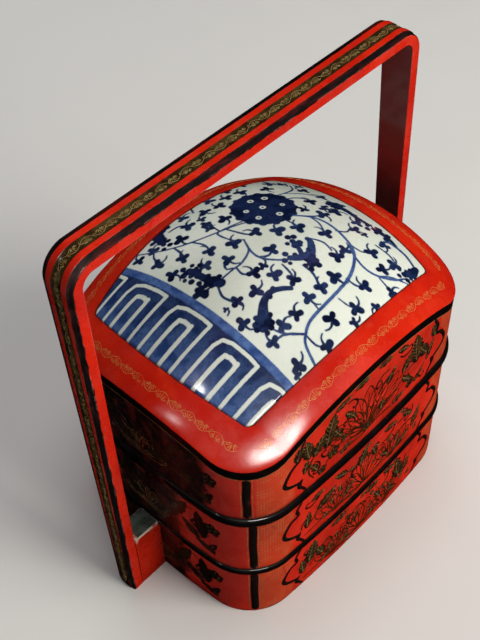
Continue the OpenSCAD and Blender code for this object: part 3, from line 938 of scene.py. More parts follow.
TRAY_STEMS = (
    ((-45, 0.3), (-38, 0.5), (-30, 0.62), (-26, 0.5), (-31, 0.44)),
    ((-18, 0.3), (-12, 0.6), (-4, 0.72), (3, 0.62), (-2, 0.56)),
    ((12, 0.15), (22, 0.4), (36, 0.5), (46, 0.4)),
    ((-50, 0.12), (-30, 0.16), (-8, 0.1), (14, 0.16), (40, 0.12)),
)
TRAY_CURLS = (
    (-38, 0.78, 11, 200, 1), (16, 0.6, 11, 40, -1), (40, 0.8, 11, 250, 1), (-8, 0.4, 11, 120, 1),
    (26, 0.7, 10, 20, -1), (-52, 0.3, 9, 60, 1),
)
SHORT_LEAVES = (
    (38, 0.62, 24, 9, 98), (31, 0.4, 16, 7, 140), (24, 0.7, 22, 8, 60), (46, 0.28, 10, 4, 60),
    (12, 0.36, 18, 7, 20), (40, 0.2, 13, 5, 160),
)
SHORT_STEMS = (
    ((44, 0.5), (36, 0.3), (24, 0.3), (10, 0.2)), ((34, 0.86), (20, 0.8), (8, 0.9)),
)
SHORT_BLACK_LEAVES = (38, 46)     # those painted black, by their distance from the middle


def lid_long_side(tier):
    """Big leaves, a many-petalled flower and small leaves on curling stems."""
    petal_fan(tier.petals, tier.spot(-4, 0.16), 11, PI * 0.06, PI * 0.94, 31, 4.6, 0.95)
    petal_fan(tier.petals, tier.spot(-4, 0.16), 7, PI * 0.15, PI * 0.85, 17, 3.4, 0.9)
    tier.leaves(LID_LEAVES, 5)
    tier.leaves([(x, share, length, 4.6, angle) for x, share, length, angle in LID_SMALL_LEAVES], 3)
    for x, share, size in LID_FLOWERS:
        rosette(tier.fills, tier.veins, tier.spot(x, share), size, 5, rng.random())
    tier.stems(LID_STEMS, (1.0, 1.7, 1.0))
    tier.curls(LID_CURLS)


def tray_long_side(tier, leaves):
    """Scrolls, petals and seed-like dots on the two trays."""
    petal_fan(tier.petals, tier.spot(-2, 0.1), 9, PI * 0.08, PI * 0.92, 27, 4.2, 0.95)
    petal_fan(tier.petals, tier.spot(22, 0.08), 6, PI * 0.2, PI * 0.7, 22, 3.4, 0.9)
    petal_fan(tier.petals, tier.spot(-24, 0.08), 6, PI * 0.3, PI * 0.8, 20, 3.4, 0.9)
    tier.leaves(leaves)
    for x, share, angle in TRAY_SEEDS:
        leaf(tier.lines, tier.veins, tier.spot(x, share), 5.6, 3.2, math.radians(angle), 1)
    tier.stems(TRAY_STEMS, (1.0, 2.0, 1.0))
    tier.curls(TRAY_CURLS)


def short_side(tier):
    """Dark leaves and comma-shaped flowers on the dark ground, which is partly painted shade, between the
    uprights.
    """
    lines, veins = tier.lines, tier.veins
    for flip in (-1, 1):
        mirrored = lambda degrees: math.radians(degrees if flip > 0 else 180 - degrees)
        rosette(lines, veins, tier.spot(flip * 46, 0.68), 5.4, 5, 0.3)
        curl(lines, tier.spot(flip * 44, 0.6), 12, mirrored(200), flip, 2.2)
        for x, share, length, width, angle in SHORT_LEAVES:
            fill = lines if x in SHORT_BLACK_LEAVES else tier.fills
            leaf(fill, tier.petals, tier.spot(flip * x, share), length, width, mirrored(angle), 4)
        rosette(lines, veins, tier.spot(flip * 45, 0.16), 2.6, 4, 0.6)
        tier.stems(SHORT_STEMS, 0.9, flip)
    petal_fan(tier.petals, tier.spot(0, 0.16), 9, PI * 0.1, PI * 0.9, 25, 4.0, 0.8)
    petal_fan(veins, tier.spot(0, 0.16), 9, PI * 0.1, PI * 0.9, 17, 2.6, 0.35)


STRIPE_TRAY, STRIPE_LID = 82.0, 84.5     # corner stripes, from the middle of a long side
PAINT_ABOVE_FLOOR, PAINT_ABOVE_SEAM = 0.8, 0.4
tiers = (Tier("base", "base", PAINT_ABOVE_FLOOR, BASE_TOP - BEAD_BASE_H, STRIPE_TRAY),
         Tier("middle", "middle_tray", BASE_TOP + PAINT_ABOVE_SEAM, MIDDLE_TOP - BEAD_MIDDLE_H,
              STRIPE_TRAY),
         Tier("lid", "lid", MIDDLE_TOP + PAINT_ABOVE_SEAM, None, STRIPE_LID))
for tier in tiers:
    for tier.centre in (0.0, PERIMETER / 2):
        panel(tier)
        if tier.name == "lid":
            lid_long_side(tier)
        else:
            tray_long_side(tier, BASE_LEAVES if tier.name == "base" else MIDDLE_LEAVES)
    for tier.centre in (PERIMETER / 4, PERIMETER * 3 / 4):
        short_side(tier)
    tier.lay()

under_band = Paint()
sweep_s = np.linspace(0, PERIMETER, 500)
for quarter in range(4):
    part = sweep_s[quarter * 125:quarter * 125 + 126]
    heights = round_wall(part, arch_z) - BAND_H - 0.35
    under_band.stroke(np.column_stack([part, heights]), 0.42, 0.07)
under_band.lay("lid_band_gold_line", on_wall, "lid", "red_lacquer", gold_line)

# ---------------------------------------------------------------- vine on the lid's frame

ROWS_ACROSS = 33
across_share = np.linspace(0, 1, ROWS_ACROSS)
skin = np.stack([[np.interp(across_share * crest_run[i, -1], crest_run[i], crest[i, :, k])
                  for k in range(3)] for i in range(COUNT)]).transpose(0, 2, 1)
skin_width = crest_run[:, -1]
round_tangent = np.roll(skin, -1, 0) - np.roll(skin, 1, 0)
across_tangent = np.gradient(skin, axis=1)
skin_normal = np.cross(round_tangent, across_tangent)
skin_normal /= np.linalg.norm(skin_normal, axis=-1, keepdims=True)
middle_line = skin[:, ROWS_ACROSS // 2]
middle_steps = np.linalg.norm(np.roll(middle_line, -1, 0) - middle_line, axis=1)
middle_run = np.concatenate([[0], np.cumsum(middle_steps)])
FRAME_ROUND = middle_run[-1]


def on_frame(points):
    """Distance round the frame's mid line, distance across from it, lift -> point."""
    column = np.interp(points[:, 0] % FRAME_ROUND, middle_run, np.arange(COUNT + 1.0))
    first = np.floor(column).astype(int) % COUNT
    second, part = (first + 1) % COUNT, (column % 1)[:, None]
    out = 0
    for station, weight in ((first, 1 - part), (second, part)):
        row = np.clip(0.5 + points[:, 1] / skin_width[station], 0.02, 0.98) * (ROWS_ACROSS - 1)
        low = np.minimum(row.astype(int), ROWS_ACROSS - 2)
        share = (row - low)[:, None]
        spot = skin[station, low] * (1 - share) + skin[station, low + 1] * share
        facing = skin_normal[station, low] * (1 - share) + skin_normal[station, low + 1] * share
        out = out + (spot + facing * points[:, 2:3]) * weight
    return out


def vine(paint, start, end, period, reach, width, lift, strokes=6):
    """A wavy stem with a fan of short strokes in each bend."""
    bends = max(2, int(round(2 * (end - start) / period)))
    period = 2 * (end - start) / bends
    u = np.arange(start, end, period / 26)
    wave = 0.8 * reach * np.sin(2 * PI * (u - start) / period)
    paint.stroke(np.column_stack([u, wave]), width * 0.75, lift)
    for bend in range(bends):
        side = 1 if bend % 2 == 0 else -1
        u0 = start + period * (bend / 2 + 0.25)
        base = np.array([u0 + rng.uniform(-0.03, 0.03) * period, -side * reach * 0.85])
        for i in range(strokes):
            a = math.radians(-62 + 124 * i / (strokes - 1) + rng.uniform(-4, 4))
            long = reach * (1.6 - 0.45 * abs(math.sin(a))) * rng.uniform(0.9, 1.08)
            tip = base + np.array([math.sin(a) * long * 1.15, side * math.cos(a) * long])
            mid = (base + tip) / 2 + np.array([math.sin(a) * long * 0.12, 0])
            blade = curve([base + (tip - base) * 0.22, mid, tip], 0.6)
            paint.stroke(blade, (width * 0.5, width * 1.2, width * 0.6), lift)
        hook = [(u0 - period * 0.2, side * reach * 0.7), (u0 - period * 0.27, side * reach * 0.05),
                (u0 - period * 0.19, -side * reach * 0.3), (u0 - period * 0.13, side * reach * 0.05)]
        paint.stroke(curve(hook, 0.6), width * 0.8, lift)


frame_vine = Paint()
corner_runs = [middle_run[int(SIDE_STEPS + CORNER_STEPS * 0.5 + q * (SIDE_STEPS + CORNER_STEPS))]
               for q in range(4)]
for q in range(4):
    start, end = corner_runs[q], corner_runs[(q + 1) % 4]
    if end < start:
        end += FRAME_ROUND
    vine(frame_vine, start + 4.5, end - 4.5, 16.5, 2.6, 0.34, 0.04, 7)
frame_vine.lay("lid_frame_gold_vine", on_frame, "lid", "red_lacquer", gold_faint)

# ---------------------------------------------------------------- porcelain shard

GRID_X, GRID_Y = 300, 236
shard_points = at(shard_line, 0)


def side_points(first_corner, count):
    """Evenly spaced points of the shard's outline between two corner middles."""
    span = SIDE_STEPS + CORNER_STEPS
    begin = int(SIDE_STEPS + CORNER_STEPS / 2 + first_corner * span)
    rows = shard_points[np.arange(begin, begin + span + 1) % COUNT]
    run = run_along(rows)
    t = np.linspace(0, run[-1], count)
    return np.column_stack([np.interp(t, run, rows[:, 0]), np.interp(t, run, rows[:, 1])])


# Corner 0 is +X+Y, 1 is -X+Y, 2 is -X-Y and 3 is +X-Y
north = side_points(0, GRID_X)[::-1]
west = side_points(1, GRID_Y)[::-1]
south = side_points(2, GRID_X)
east = side_points(3, GRID_Y)
u = np.linspace(0, 1, GRID_X)[None, :, None]
v = np.linspace(0, 1, GRID_Y)[:, None, None]
plan = ((1 - v) * south[None] + v * north[None] + (1 - u) * west[:, None] + u * east[:, None]
        - (1 - u) * (1 - v) * south[0] - u * (1 - v) * south[-1]
        - (1 - u) * v * north[0] - u * v * north[-1])
plan = plan.reshape(-1, 2)
rim_gap = np.minimum(np.minimum(u, 1 - u) * SHARD_LEN, np.minimum(v, 1 - v) * SHARD_WID).reshape(-1)


class Ink:
    """Blue painting: at each point, how deep it lies inside a stroke and how dark it is."""

    def __init__(self, xy):
        self.xy = xy
        self.depth = np.full(len(xy), -2.5)
        self.tone = np.full(len(xy), 0.5)

    def near(self, path, margin):
        low, high = path.min(0) - margin, path.max(0) + margin
        return np.nonzero(((self.xy > low) & (self.xy < high)).all(1))[0]

    def distance(self, path, widths, picked):
        """Depth inside a line of given widths, at the picked points."""
        p, best = self.xy[picked], np.full(len(picked), -9.0)
        for i in range(len(path) - 1):
            a, gap = path[i], path[i + 1] - path[i]
            t = np.clip((p - a) @ gap / max(gap @ gap, 1e-9), 0, 1)
            d = np.hypot(*(p - a - t[:, None] * gap).T)
            best = np.maximum(best, (widths[i] + (widths[i + 1] - widths[i]) * t) / 2 - d)
        return best

    def line(self, points, width, tone, clear=False, smooth=True, step=1.2):
        path = curve(points, step) if smooth else np.asarray(points, float)
        widths = widths_along(width, np.linspace(0, 1, len(path)))
        picked = self.near(path, widths.max() / 2 + 2.6)
        depth = self.distance(path, widths, picked)
        if clear:
            self.depth[picked] = np.minimum(self.depth[picked], -depth)
            return
        better = depth > self.depth[picked]
        self.depth[picked[better]] = depth[better]
        self.tone[picked[better]] = tone

    def dot(self, x, y, radius, tone, clear=False, squash=1.0, angle=0.0):
        reach = np.array([[math.cos(angle), math.sin(angle)]]) * radius * (squash - 1)
        path = np.vstack([[x, y] - reach[0], [x, y] + reach[0] + 1e-3])
        self.line(path, 2 * radius, tone, clear, smooth=False)


# The painting is drawn for a shard of this length and width
PAINTED_LEN, PAINTED_WID = 134.5, 105.0
ink = Ink(plan * (PAINTED_LEN / SHARD_LEN, PAINTED_WID / SHARD_WID))


# Fret of nested hooks along the shard's -X end
FRET_X, BORDER_X, WHITE_LINE_X = -44.3, -42.2, -39.4     # fret's end, blue stripe, white line
FRET_TOP, FRET_PITCH, FRET_TILT = 44.0, 29.2, -0.11


def fret():
    slant = lambda x, y: (x, y + FRET_TILT * (x + 73))
    ink.line([(-62, -70), (-62, 70)], 36.5, 0.42, smooth=False)
    for k in range(-1, 4):
        top = FRET_TOP - FRET_PITCH * k
        hook = [slant(-82, top - 3.6), slant(-53, top - 3.6), slant(-49.4, top - 6.2),
                slant(-48.6, top - 11),
                slant(-48.8, top - 16), slant(-51, top - 18.6), slant(-82, top - 19)]
        ink.line(curve(hook, 1.0), 4.6, 0.88, smooth=False)
    for k in range(-1, 4):
        top = FRET_TOP - FRET_PITCH * k
        outer = [slant(-82, top), slant(-52, top), slant(-47.6, top - 1.4), slant(-46, top - 6),
                 slant(-45.6, top - 16), slant(-46, top - 21.4), slant(-82, top - 21.6)]
        inner = [slant(-82, top - 6.9), slant(-55, top - 6.9), slant(-51.8, top - 8.6),
                 slant(-51.4, top - 11.2),
                 slant(-52, top - 13.8), slant(-54, top - 14.6), slant(-82, top - 14.7)]
        ink.line(outer, 1.75, 0, clear=True, smooth=False)
        ink.line(curve(inner, 1.0), 2.1, 0, clear=True, smooth=False)
    ink.line([(BORDER_X, -70), (BORDER_X, 70)], 4.0, 0.22, smooth=False)
    behind = ink.xy[:, 0] < FRET_X
    ink.tone[behind] = np.clip(ink.tone[behind] + 0.44 - 0.022 * (FRET_X - ink.xy[behind, 0]), 0.25, 0.98)
    ink.line([(WHITE_LINE_X, -70), (WHITE_LINE_X, 70)], 1.4, 0, clear=True, smooth=False)


fret()

# The scroll is laid out after the photo, in millimetres on the painted shard.
# Stems: points along each, then width and tone
STEMS = (
    (((-28, -60), (-24, -49), (-20, -45), (-13, -42), (0, -41), (10, -40), (20, -38), (30, -33), (37, -26),
      (40.5, -15), (41, -5), (38, 2), (31, 9)), 1.3, 0.3),
    (((11, 22.5), (3, 25), (-5, 27.5), (-15, 33), (-22, 39), (-28, 47), (-33, 58)), 0.9, 0.55),
    (((11, 20.5), (2, 24.5), (-4, 26), (-3.8, 17), (0, 12)), 0.9, 0.55),
    (((0, 12), (-4, 5), (-12, 2), (-18, 2.5), (-25, 3)), 0.9, 0.5),
    (((1, 24), (3, 16), (5, 12), (8, 10)), 1.0, 0.7),
    (((0, 12), (-4, 3), (-3.5, -4), (2, -11), (8, -15)), 1.0, 0.45),
    (((-15, 33), (-13.6, 26), (-15, 20)), 1.0, 0.6),
    (((-22, 39), (-23, 33), (-25, 28)), 1.0, 0.65),
    (((-28, 47), (-31, 44), (-33, 39)), 0.9, 0.7),
    (((-2, 26), (-1, 32), (0, 38)), 0.9, 0.7),
    (((-17, 3), (-19.5, 5), (-18, 8), (-14, 10)), 0.9, 0.6),
    (((-16, 2), (-17, -3), (-14, -6)), 1.0, 0.6),
    (((-3.6, -2), (0, -4.5), (4, -3)), 0.9, 0.6),
    (((-29, 2), (-32, -4), (-31, -10), (-29.5, -15)), 1.1, 0.7),
    (((0, -13), (-1, -19), (-3, -23)), 1.0, 0.6),
    (((7, -20), (7, -26), (4, -33)), 1.1, 0.6),
    (((-20, -45), (-26, -39), (-29, -33), (-29, -28)), 0.9, 0.5),
    (((-20, -45), (-20, -51), (-17, -55)), 0.9, 0.55),
    (((-20, -44.5), (-27, -38.5), (-33, -37)), 1.0, 0.6),
    (((24, -10), (27, -16), (26, -22)), 1.0, 0.5),
    (((40, -13), (42, -15), (45, -16.5), (49, -15)), 0.9, 0.7),
    (((37, -24), (33, -31), (31.5, -39), (34, -45), (40, -50), (47, -52)), 1.1, 0.35),
    (((34, -45), (40, -48.5), (46, -55)), 0.9, 0.4),
    (((38, -24), (39, -30), (43, -33)), 0.9, 0.6),
    (((18, -38), (19, -43), (23, -46)), 1.0, 0.6),
    (((6, -43), (7, -48), (9, -51)), 0.8, 0.6),
    (((33, -52), (33.5, -46)), 0.9, 0.5),
    (((44, 28.5), (51, 28.3), (57, 30), (62, 36)), 1.0, 0.5),
    (((43, 22), (48, 20.5), (51.5, 17), (52, 12)), 1.0, 0.5),
    (((48, 28), (57, 22), (62, 15), (63, 5)), 0.8, 0.5),
    (((60, 36), (56, 46), (60, 56)), 1.0, 0.6),
    (((33, 41), (36, 46), (34, 49)), 1.0, 0.6),
    (((5, 52), (9, 58), (14, 62)), 1.0, 0.5),
    (((-13, 51.5), (-8, 50), (-5.5, 46)), 1.1, 0.7),
    (((55, -30), (61, -31), (62.5, -40), (60, -48)), 1.5, 0.5),
    (((51, -30), (52, -38), (50.5, -43)), 1.0, 0.6),
    (((38, 3), (37.5, -4), (35, -9), (33, -12)), 0.9, 0.4),
    (((32, 8), (39, 2), (45, -0.5)), 1.1, 0.4),
    (((26, 7), (26.5, 2), (26, -2)), 1.0, 0.5),
    (((15, -38.5), (14, -35)), 0.9, 0.6),
    (((-6, -41), (-5.5, -37)), 0.8, 0.6),
    (((10, 31), (8, 33), (7.5, 36)), 0.9, 0.7),
)

# Small three-lobed sprigs: x, y, the way the sprig points in degrees, size
SPRIGS = (
    (-35, 51, 250, 0.9), (-27, 49, 200, 0.9), (-33.5, 38.5, 160, 1.0), (-25.5, 29, 240, 0.95),
    (-35.5, 26, 100, 1.0), (-23.5, 15, 260, 0.9), (-15.5, 20.5, 250, 1.0), (-15.5, 40, 70, 1.1),
    (-6, 45, 230, 1.05), (-1, 37, 90, 0.8), (-3, 33, 200, 0.8), (7.5, 32, 80, 1.0),
    (8, 46.5, 90, 1.0), (16, 44, 280, 1.0), (25, 48, 260, 1.05), (34.5, 46.5, 250, 1.05),
    (-5, 14, 240, 1.1), (7.5, 11.5, 280, 1.0), (-14.5, 8.5, 90, 1.0), (-36, 6, 160, 1.15),
    (16, 4.5, 240, 1.1), (3.5, -3, 20, 1.05), (-13, -6.5, 260, 1.05), (-29.5, -11, 90, 0.9),
    (-20, -14, 180, 1.05), (-7.5, -14.5, 240, 1.05), (-3, -22.5, 210, 1.0), (25.5, -0.5, 250, 1.1),
    (25, -26, 230, 1.05), (33.5, -12, 260, 1.1), (32, -25, 190, 0.95), (46, 0, 90, 1.1),
    (51.5, 13, 250, 1.0), (44, -33, 250, 1.1), (40, -43, 160, 0.95), (48.5, -43.5, 200, 1.0),
    (56, -32, 60, 0.9), (57, -13, 270, 0.95), (50.5, -17, 270, 0.9), (55, -1, 150, 1.0),
    (-36, -21, 90, 1.0), (-33.5, -37, 270, 0.95), (-24.5, -35, 200, 1.0), (-16, -35.5, 230, 1.0),
    (-5, -34, 90, 1.0), (4, -34, 250, 1.0), (14, -34, 100, 1.1), (-33, -51.5, 190, 1.05),
    (-16.5, -55, 260, 1.0), (-5, -48, 30, 1.1), (9, -51, 200, 1.05), (22.5, -45.5, 280, 0.95),
    (18.5, -56, 0, 0.7), (33, -54.5, 200, 0.9), (47, 39, 60, 1.05), (61, 26, 280, 1.0),
    (62.5, 15, 270, 0.9), (-1, 54, 200, 0.9), (18, 54, 210, 1.0), (44, 55, 260, 1.0),
    (55, 45, 230, 1.0), (61, 41, 90, 0.9), (41, 9, 200, 0.8), (-12, 57, 220, 0.9),
    (64, -22, 280, 0.9), (1.5, 42.5, 250, 0.7), (-7, -7, 200, 0.7), (-36, -10, 90, 0.45),
    (52, -22, 270, 0.6), (32, 55, 250, 1.0), (65, 33, 200, 0.8), (-36, -54, 90, 0.6),
    (3, -55, 160, 0.7), (52, 4, 60, 0.8),
)


def sprig(x, y, heading, size):
    """Two side lobes, a head and a short hooked tail."""
    a = math.radians(heading)
    tone = 0.84 + 0.14 * rng.random()
    forward, sideways = np.array([math.cos(a), math.sin(a)]), np.array([-math.sin(a), math.cos(a)])
    here = np.array([x, y])
    turn = 1 if rng.random() < 0.5 else -1
    for reach, across, radius in ((2.2, 0.1, 1.5), (-0.5, 2.0, 1.75), (-0.6, -1.8, 1.55), (0.3, 0.1, 1.5)):
        spot = here + (forward * reach + sideways * across) * size
        ink.dot(*spot, radius * size * rng.uniform(0.88, 1.1), tone, squash=1.25, angle=a + across)
    tail = [here + forward * reach * size + sideways * turn * across
            for reach, across in ((0, 0), (-2.6, 0.5), (-4.6, -0.2), (-5.8, -1.8))]
    ink.line(tail, (1.6 * size, 1.2, 0.9), tone * 0.85)


for points, width, tone in STEMS:
    ink.line(points, (width * 1.1, width * 1.4, width * 1.1), tone + 0.08)
for x, y, heading, size in SPRIGS:
    sprig(x, y, heading, size)

# Larger dark scrolls and flowers: points, widths at start, middle and end, tone
SCROLLS = (
    (((-30, -27), (-27, -25), (-22, -21), (-16, -19.6), (-11, -22), (-7.5, -25)), (6.4, 3.6, 2.6), 0.85),
    (((-31, -29), (-27, -28)), (5.5, 6.0, 4.0), 0.95),
    (((-30, 20), (-29.5, 14), (-29, 8), (-27, 2)), (3.6, 4.2, 5.4), 0.95),
    (((-32, 17), (-27, 18)), (2.6, 3.4, 2.6), 0.95),
    (((-33, 7), (-29, 6), (-24.5, 5)), (2.6, 3.6, 2.8), 0.95),
    (((6, -13), (10, -16), (16, -17), (22, -12), (22.5, -9.5)), (3.6, 5.0, 3.0), 0.8),
    (((11, -22), (14, -19), (18, -15)), (4.6, 5.4, 3.2), 0.9),
    (((15.5, -6), (14, -11), (12, -15)), (3.2, 2.6, 3.0), 0.85),
    (((61, 5), (62.5, -2), (62, -9), (63, -16)), (5.2, 3.6, 3.0), 0.9),
    (((58, 4), (62, 4.5), (66, 3)), (2.6, 3.6, 3.0), 0.9),
    (((62, -20), (64, -28), (63, -34)), (2.4, 3.4, 2.2), 0.9),
    (((49, -50), (54, -51), (60, -49.5)), (3.4, 5.4, 3.4), 0.9),
    (((-20, 52), (-17, 56), (-10, 57)), (5.0, 5.6, 4.0), 0.95),
    (((-22, 46), (-20, 50)), (2.6, 3.6, 3.0), 0.95),
)
for points, width, tone in SCROLLS:
    ink.line(points, width, tone)
    for (x, y), count, reach in ((points[0], 5, 3.4), (points[len(points) // 2], 2, 2.4)):
        for i in range(count):
            a = 2 * PI * (i + rng.random() * 0.5) / count
            ink.dot(x + reach * math.cos(a), y + reach * math.sin(a), rng.uniform(1.2, 1.8), tone + 0.04)

# Round flower with a scalloped rim and white-ringed seeds
FLOWER = (27.5, 24.0)
FLOWER_R = 16.8
ink.dot(*FLOWER, FLOWER_R, 0.93)
for i in range(15):
    a = 2 * PI * i / 15 + 0.1
    ink.dot(FLOWER[0] + (FLOWER_R - 1) * math.cos(a), FLOWER[1] + (FLOWER_R - 1) * math.sin(a), 2.2, 0.9)
for i in range(12):
    a = 2 * PI * i / 12
    inner_point = (FLOWER[0] + 10.6 * math.cos(a), FLOWER[1] + 10.6 * math.sin(a))
    outer_point = (FLOWER[0] + 14.6 * math.cos(a + 0.16), FLOWER[1] + 14.6 * math.sin(a + 0.16))
    ink.line([inner_point, outer_point], (0.5, 0.8, 0.3), 0.35, smooth=False)
for x, y, size in ((27, 24, 1.0), (28, 33.4, 1.0), (35.5, 30.5, 1.05), (18.5, 27.5, 0.85), (18, 18.5, 0.9),
                   (28, 13.4, 1.0), (36.4, 19, 0.8)):
    ink.dot(x, y, 1.7 * size, 0, clear=True)
    ink.dot(x, y, 0.75 * size, 0.9)


def shard_mesh():
    top = dome(plan, CROWN, SHARD_RX, SHARD_RY)
    droop = 0.55 * np.clip(1 - rim_gap / 1.1, 0, 1) ** 2
    upper = np.column_stack([plan, top - droop])
    index = np.arange(GRID_X * GRID_Y).reshape(GRID_Y, GRID_X)
    faces = grid_faces(index)
    rim = np.concatenate([index[0, :-1], index[:-1, -1], index[-1, :0:-1], index[:0:-1, 0]])
    n, total = len(rim), len(upper)
    rings, values = [upper], [np.zeros(total)]
    rim_xy = plan[rim]
    for inset, drop, part in ((1.0, 1.6, 1), (1.0, SHARD_T - 0.6, 1), (0.99, SHARD_T, 1),
                              (0.66, SHARD_T, 0), (0.33, SHARD_T, 0)):
        xy = rim_xy * inset
        z = dome(xy, CROWN, SHARD_RX, SHARD_RY) - drop
        rings.append(np.column_stack([xy, z]))
        values.append(np.full(n, float(part)))
    rings.append(np.array([[0, 0, CROWN - SHARD_T]]))
    values.append(np.zeros(1))
    before = rim
    for r in range(5):
        here = total + r * n + np.arange(n)
        faces += np.stack([before, here, np.roll(here, -1), np.roll(before, -1)], -1).tolist()
        before = here
    faces += [(int(before[(i + 1) % n]), int(before[i]), total + 5 * n) for i in range(n)]
    points = np.vstack(rings)
    extra = len(points) - total
    made = new_object("porcelain_shard_painted", points, faces, "lid", porcelain_finish, {
        "ink": np.concatenate([ink.depth, np.full(extra, -2.5)]),
        "tone": np.concatenate([ink.tone, np.full(extra, 0.5)]),
        "broken": np.concatenate(values)}, 50)
    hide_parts("porcelain_shard")


shard_mesh()

# ---------------------------------------------------------------- handle

def hoop_path():
    """Points of the hoop's outer and inner lines in its own plane, left foot to right foot."""
    outer, inner = [], []
    outer_c = (HANDLE_HALF - BAR_OUTER_R, HANDLE_H - BAR_OUTER_R)
    inner_c = (HANDLE_HALF - BAR_T - BAR_INNER_R, HANDLE_H - BAR_T - BAR_INNER_R)
    for z in np.linspace(0, 1, 40, endpoint=False):
        outer.append((HANDLE_HALF, z * outer_c[1]))
        inner.append((HANDLE_HALF - BAR_T, z * inner_c[1]))
    for a in np.linspace(0, PI / 2, 22):
        outer.append((outer_c[0] + BAR_OUTER_R * math.cos(a), outer_c[1] + BAR_OUTER_R * math.sin(a)))
        inner.append((inner_c[0] + BAR_INNER_R * math.cos(a), inner_c[1] + BAR_INNER_R * math.sin(a)))
    for x in np.linspace(1, 0, 34)[1:]:
        outer.append((x * outer_c[0], HANDLE_H))
        inner.append((x * inner_c[0], HANDLE_H - BAR_T))
    outer, inner = np.array(outer), np.array(inner)
    mirror = np.array([-1, 1])
    return (np.vstack([outer * mirror, outer[::-1][1:]]), np.vstack([inner * mirror, inner[::-1][1:]]))


hoop_outer, hoop_inner = hoop_path()
CHAMFER_IN, CHAMFER_DOWN = 3.3, 1.3
GROOVE_HALF, GROOVE_DEEP = 3.2, 0.32


def bar_half(z):
    return (BAR_W_LOW + (BAR_W_TOP - BAR_W_LOW) * z / HANDLE_H) / 2


def hoop():
    """The bar's section carried along the hoop: depth below its outer face, distance across."""
    half = bar_half(hoop_outer[:, 1])
    flat = half - CHAMFER_IN
    # One side of the section: depth, across, black, band, inside, arris. The other mirrors it.
    side = [(BAR_T, half, 0, 0, 0.5, 1), (BAR_T - 1, half, 0, 0, 0, 0),
            (CHAMFER_DOWN + 1.6, half, 0, 0, 0, 0), (CHAMFER_DOWN, half, 0.62, 0, 0, 1),
            (CHAMFER_DOWN - 0.4, half - 0.45, 1, 0, 0, 0), (0.35, flat + 0.4, 1, 0, 0, 0),
            (0, flat, 0.5, 0, 0, 1), (0, flat - 0.5, 0, 0, 0, 0),
            (0, GROOVE_HALF + 0.35, 0, 0, 0, 0), (0, GROOVE_HALF, 0, 0.5, 0, 0.6),
            (GROOVE_DEEP, GROOVE_HALF - 0.35, 0, 1, 0, 0)]
    other = [(depth, -across, *values) for depth, across, *values in side]
    inner_face = [(BAR_T, 1.2 - half, 0, 0, 1, 0), (BAR_T, half - 1.2, 0, 0, 1, 0)]
    n = len(hoop_outer)
    section = along(other[:1] + inner_face + side + other[:0:-1], n)
    section = soften(section, (0, 3, 6, 9, 12, 15, 18, 21), 0.55)
    share = section[..., 0:1] / BAR_T
    xz = hoop_outer[:, None] + (hoop_inner - hoop_outer)[:, None] * share
    lean = BAR_LEAN * xz[..., 1] / HANDLE_H
    points = np.stack([xz[..., 0], section[..., 1] + lean, xz[..., 1]], -1)
    made = new_object("handle_hoop", points.reshape(-1, 3), tube_faces(n, points.shape[1]),
                      "base", handle_finish,
                      {"black": section[..., 2], "band": section[..., 3], "inside": section[..., 4],
                       "arris": section[..., 5]}, 50)
    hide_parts("upright_left", "upright_right", "handle_rail")


hoop()
hoop_run = run_along(hoop_outer)
hoop_tangent = np.gradient(hoop_outer, axis=0)
hoop_tangent /= np.linalg.norm(hoop_tangent, axis=1)[:, None]
hoop_facing = np.stack([-hoop_tangent[:, 1], hoop_tangent[:, 0]], -1)


def on_hoop(points):
    """Distance along the hoop, distance across, lift above the groove -> point."""
    at_run = lambda values: np.interp(points[:, 0], hoop_run, values)
    lift = points[:, 2] - GROOVE_DEEP
    x = at_run(hoop_outer[:, 0]) + at_run(hoop_facing[:, 0]) * lift
    z = at_run(hoop_outer[:, 1]) + at_run(hoop_facing[:, 1]) * lift
    return np.column_stack([x, points[:, 1] + BAR_LEAN * z / HANDLE_H, z])


handle_vine = Paint()
vine(handle_vine, 3.0, hoop_run[-1] - 3.0, 14.5, 2.05, 0.3, 0.07, 7)
handle_vine.lay("handle_gold_vine", on_hoop, "base", "red_lacquer", gold_on_dark)


# ---------------------------------------------------------------- foot blocks

def foot_block(name, node, side):
    """A block hollowed to the tray's curved side, with softened edges."""
    low, high = box_mm(node)
    y0, y1 = low[1], high[1]
    top, notch = high[2], BASE_TOP - BEAD_BASE_H - SEAT
    far = np.abs([low[0], high[0]]).max()
    rows = []
    wall_side = wall_xy[np.argsort(wall_xy[:, 1])]
    wall_side = wall_side[wall_side[:, 0] > BODY_LEN / 2 - 8]
    for y in np.linspace(y0, y1, 15):
        near = np.interp(y, wall_side[:, 1], wall_side[:, 0]) + SEAT
        rows.append([(near, y, 0), (far, y, 0), (far, y, top), (near + BEAD_BASE_OUT + SEAT, y, top),
                     (near + BEAD_BASE_OUT + SEAT, y, notch), (near, y, notch)])
    points = np.array(rows)
    points[..., 0] *= side
    made = new_object(name, points.reshape(-1, 3), tube_faces(*points.shape[:2]), "base",
                      block_finish)
    cut_block(made, top)
    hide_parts(node)


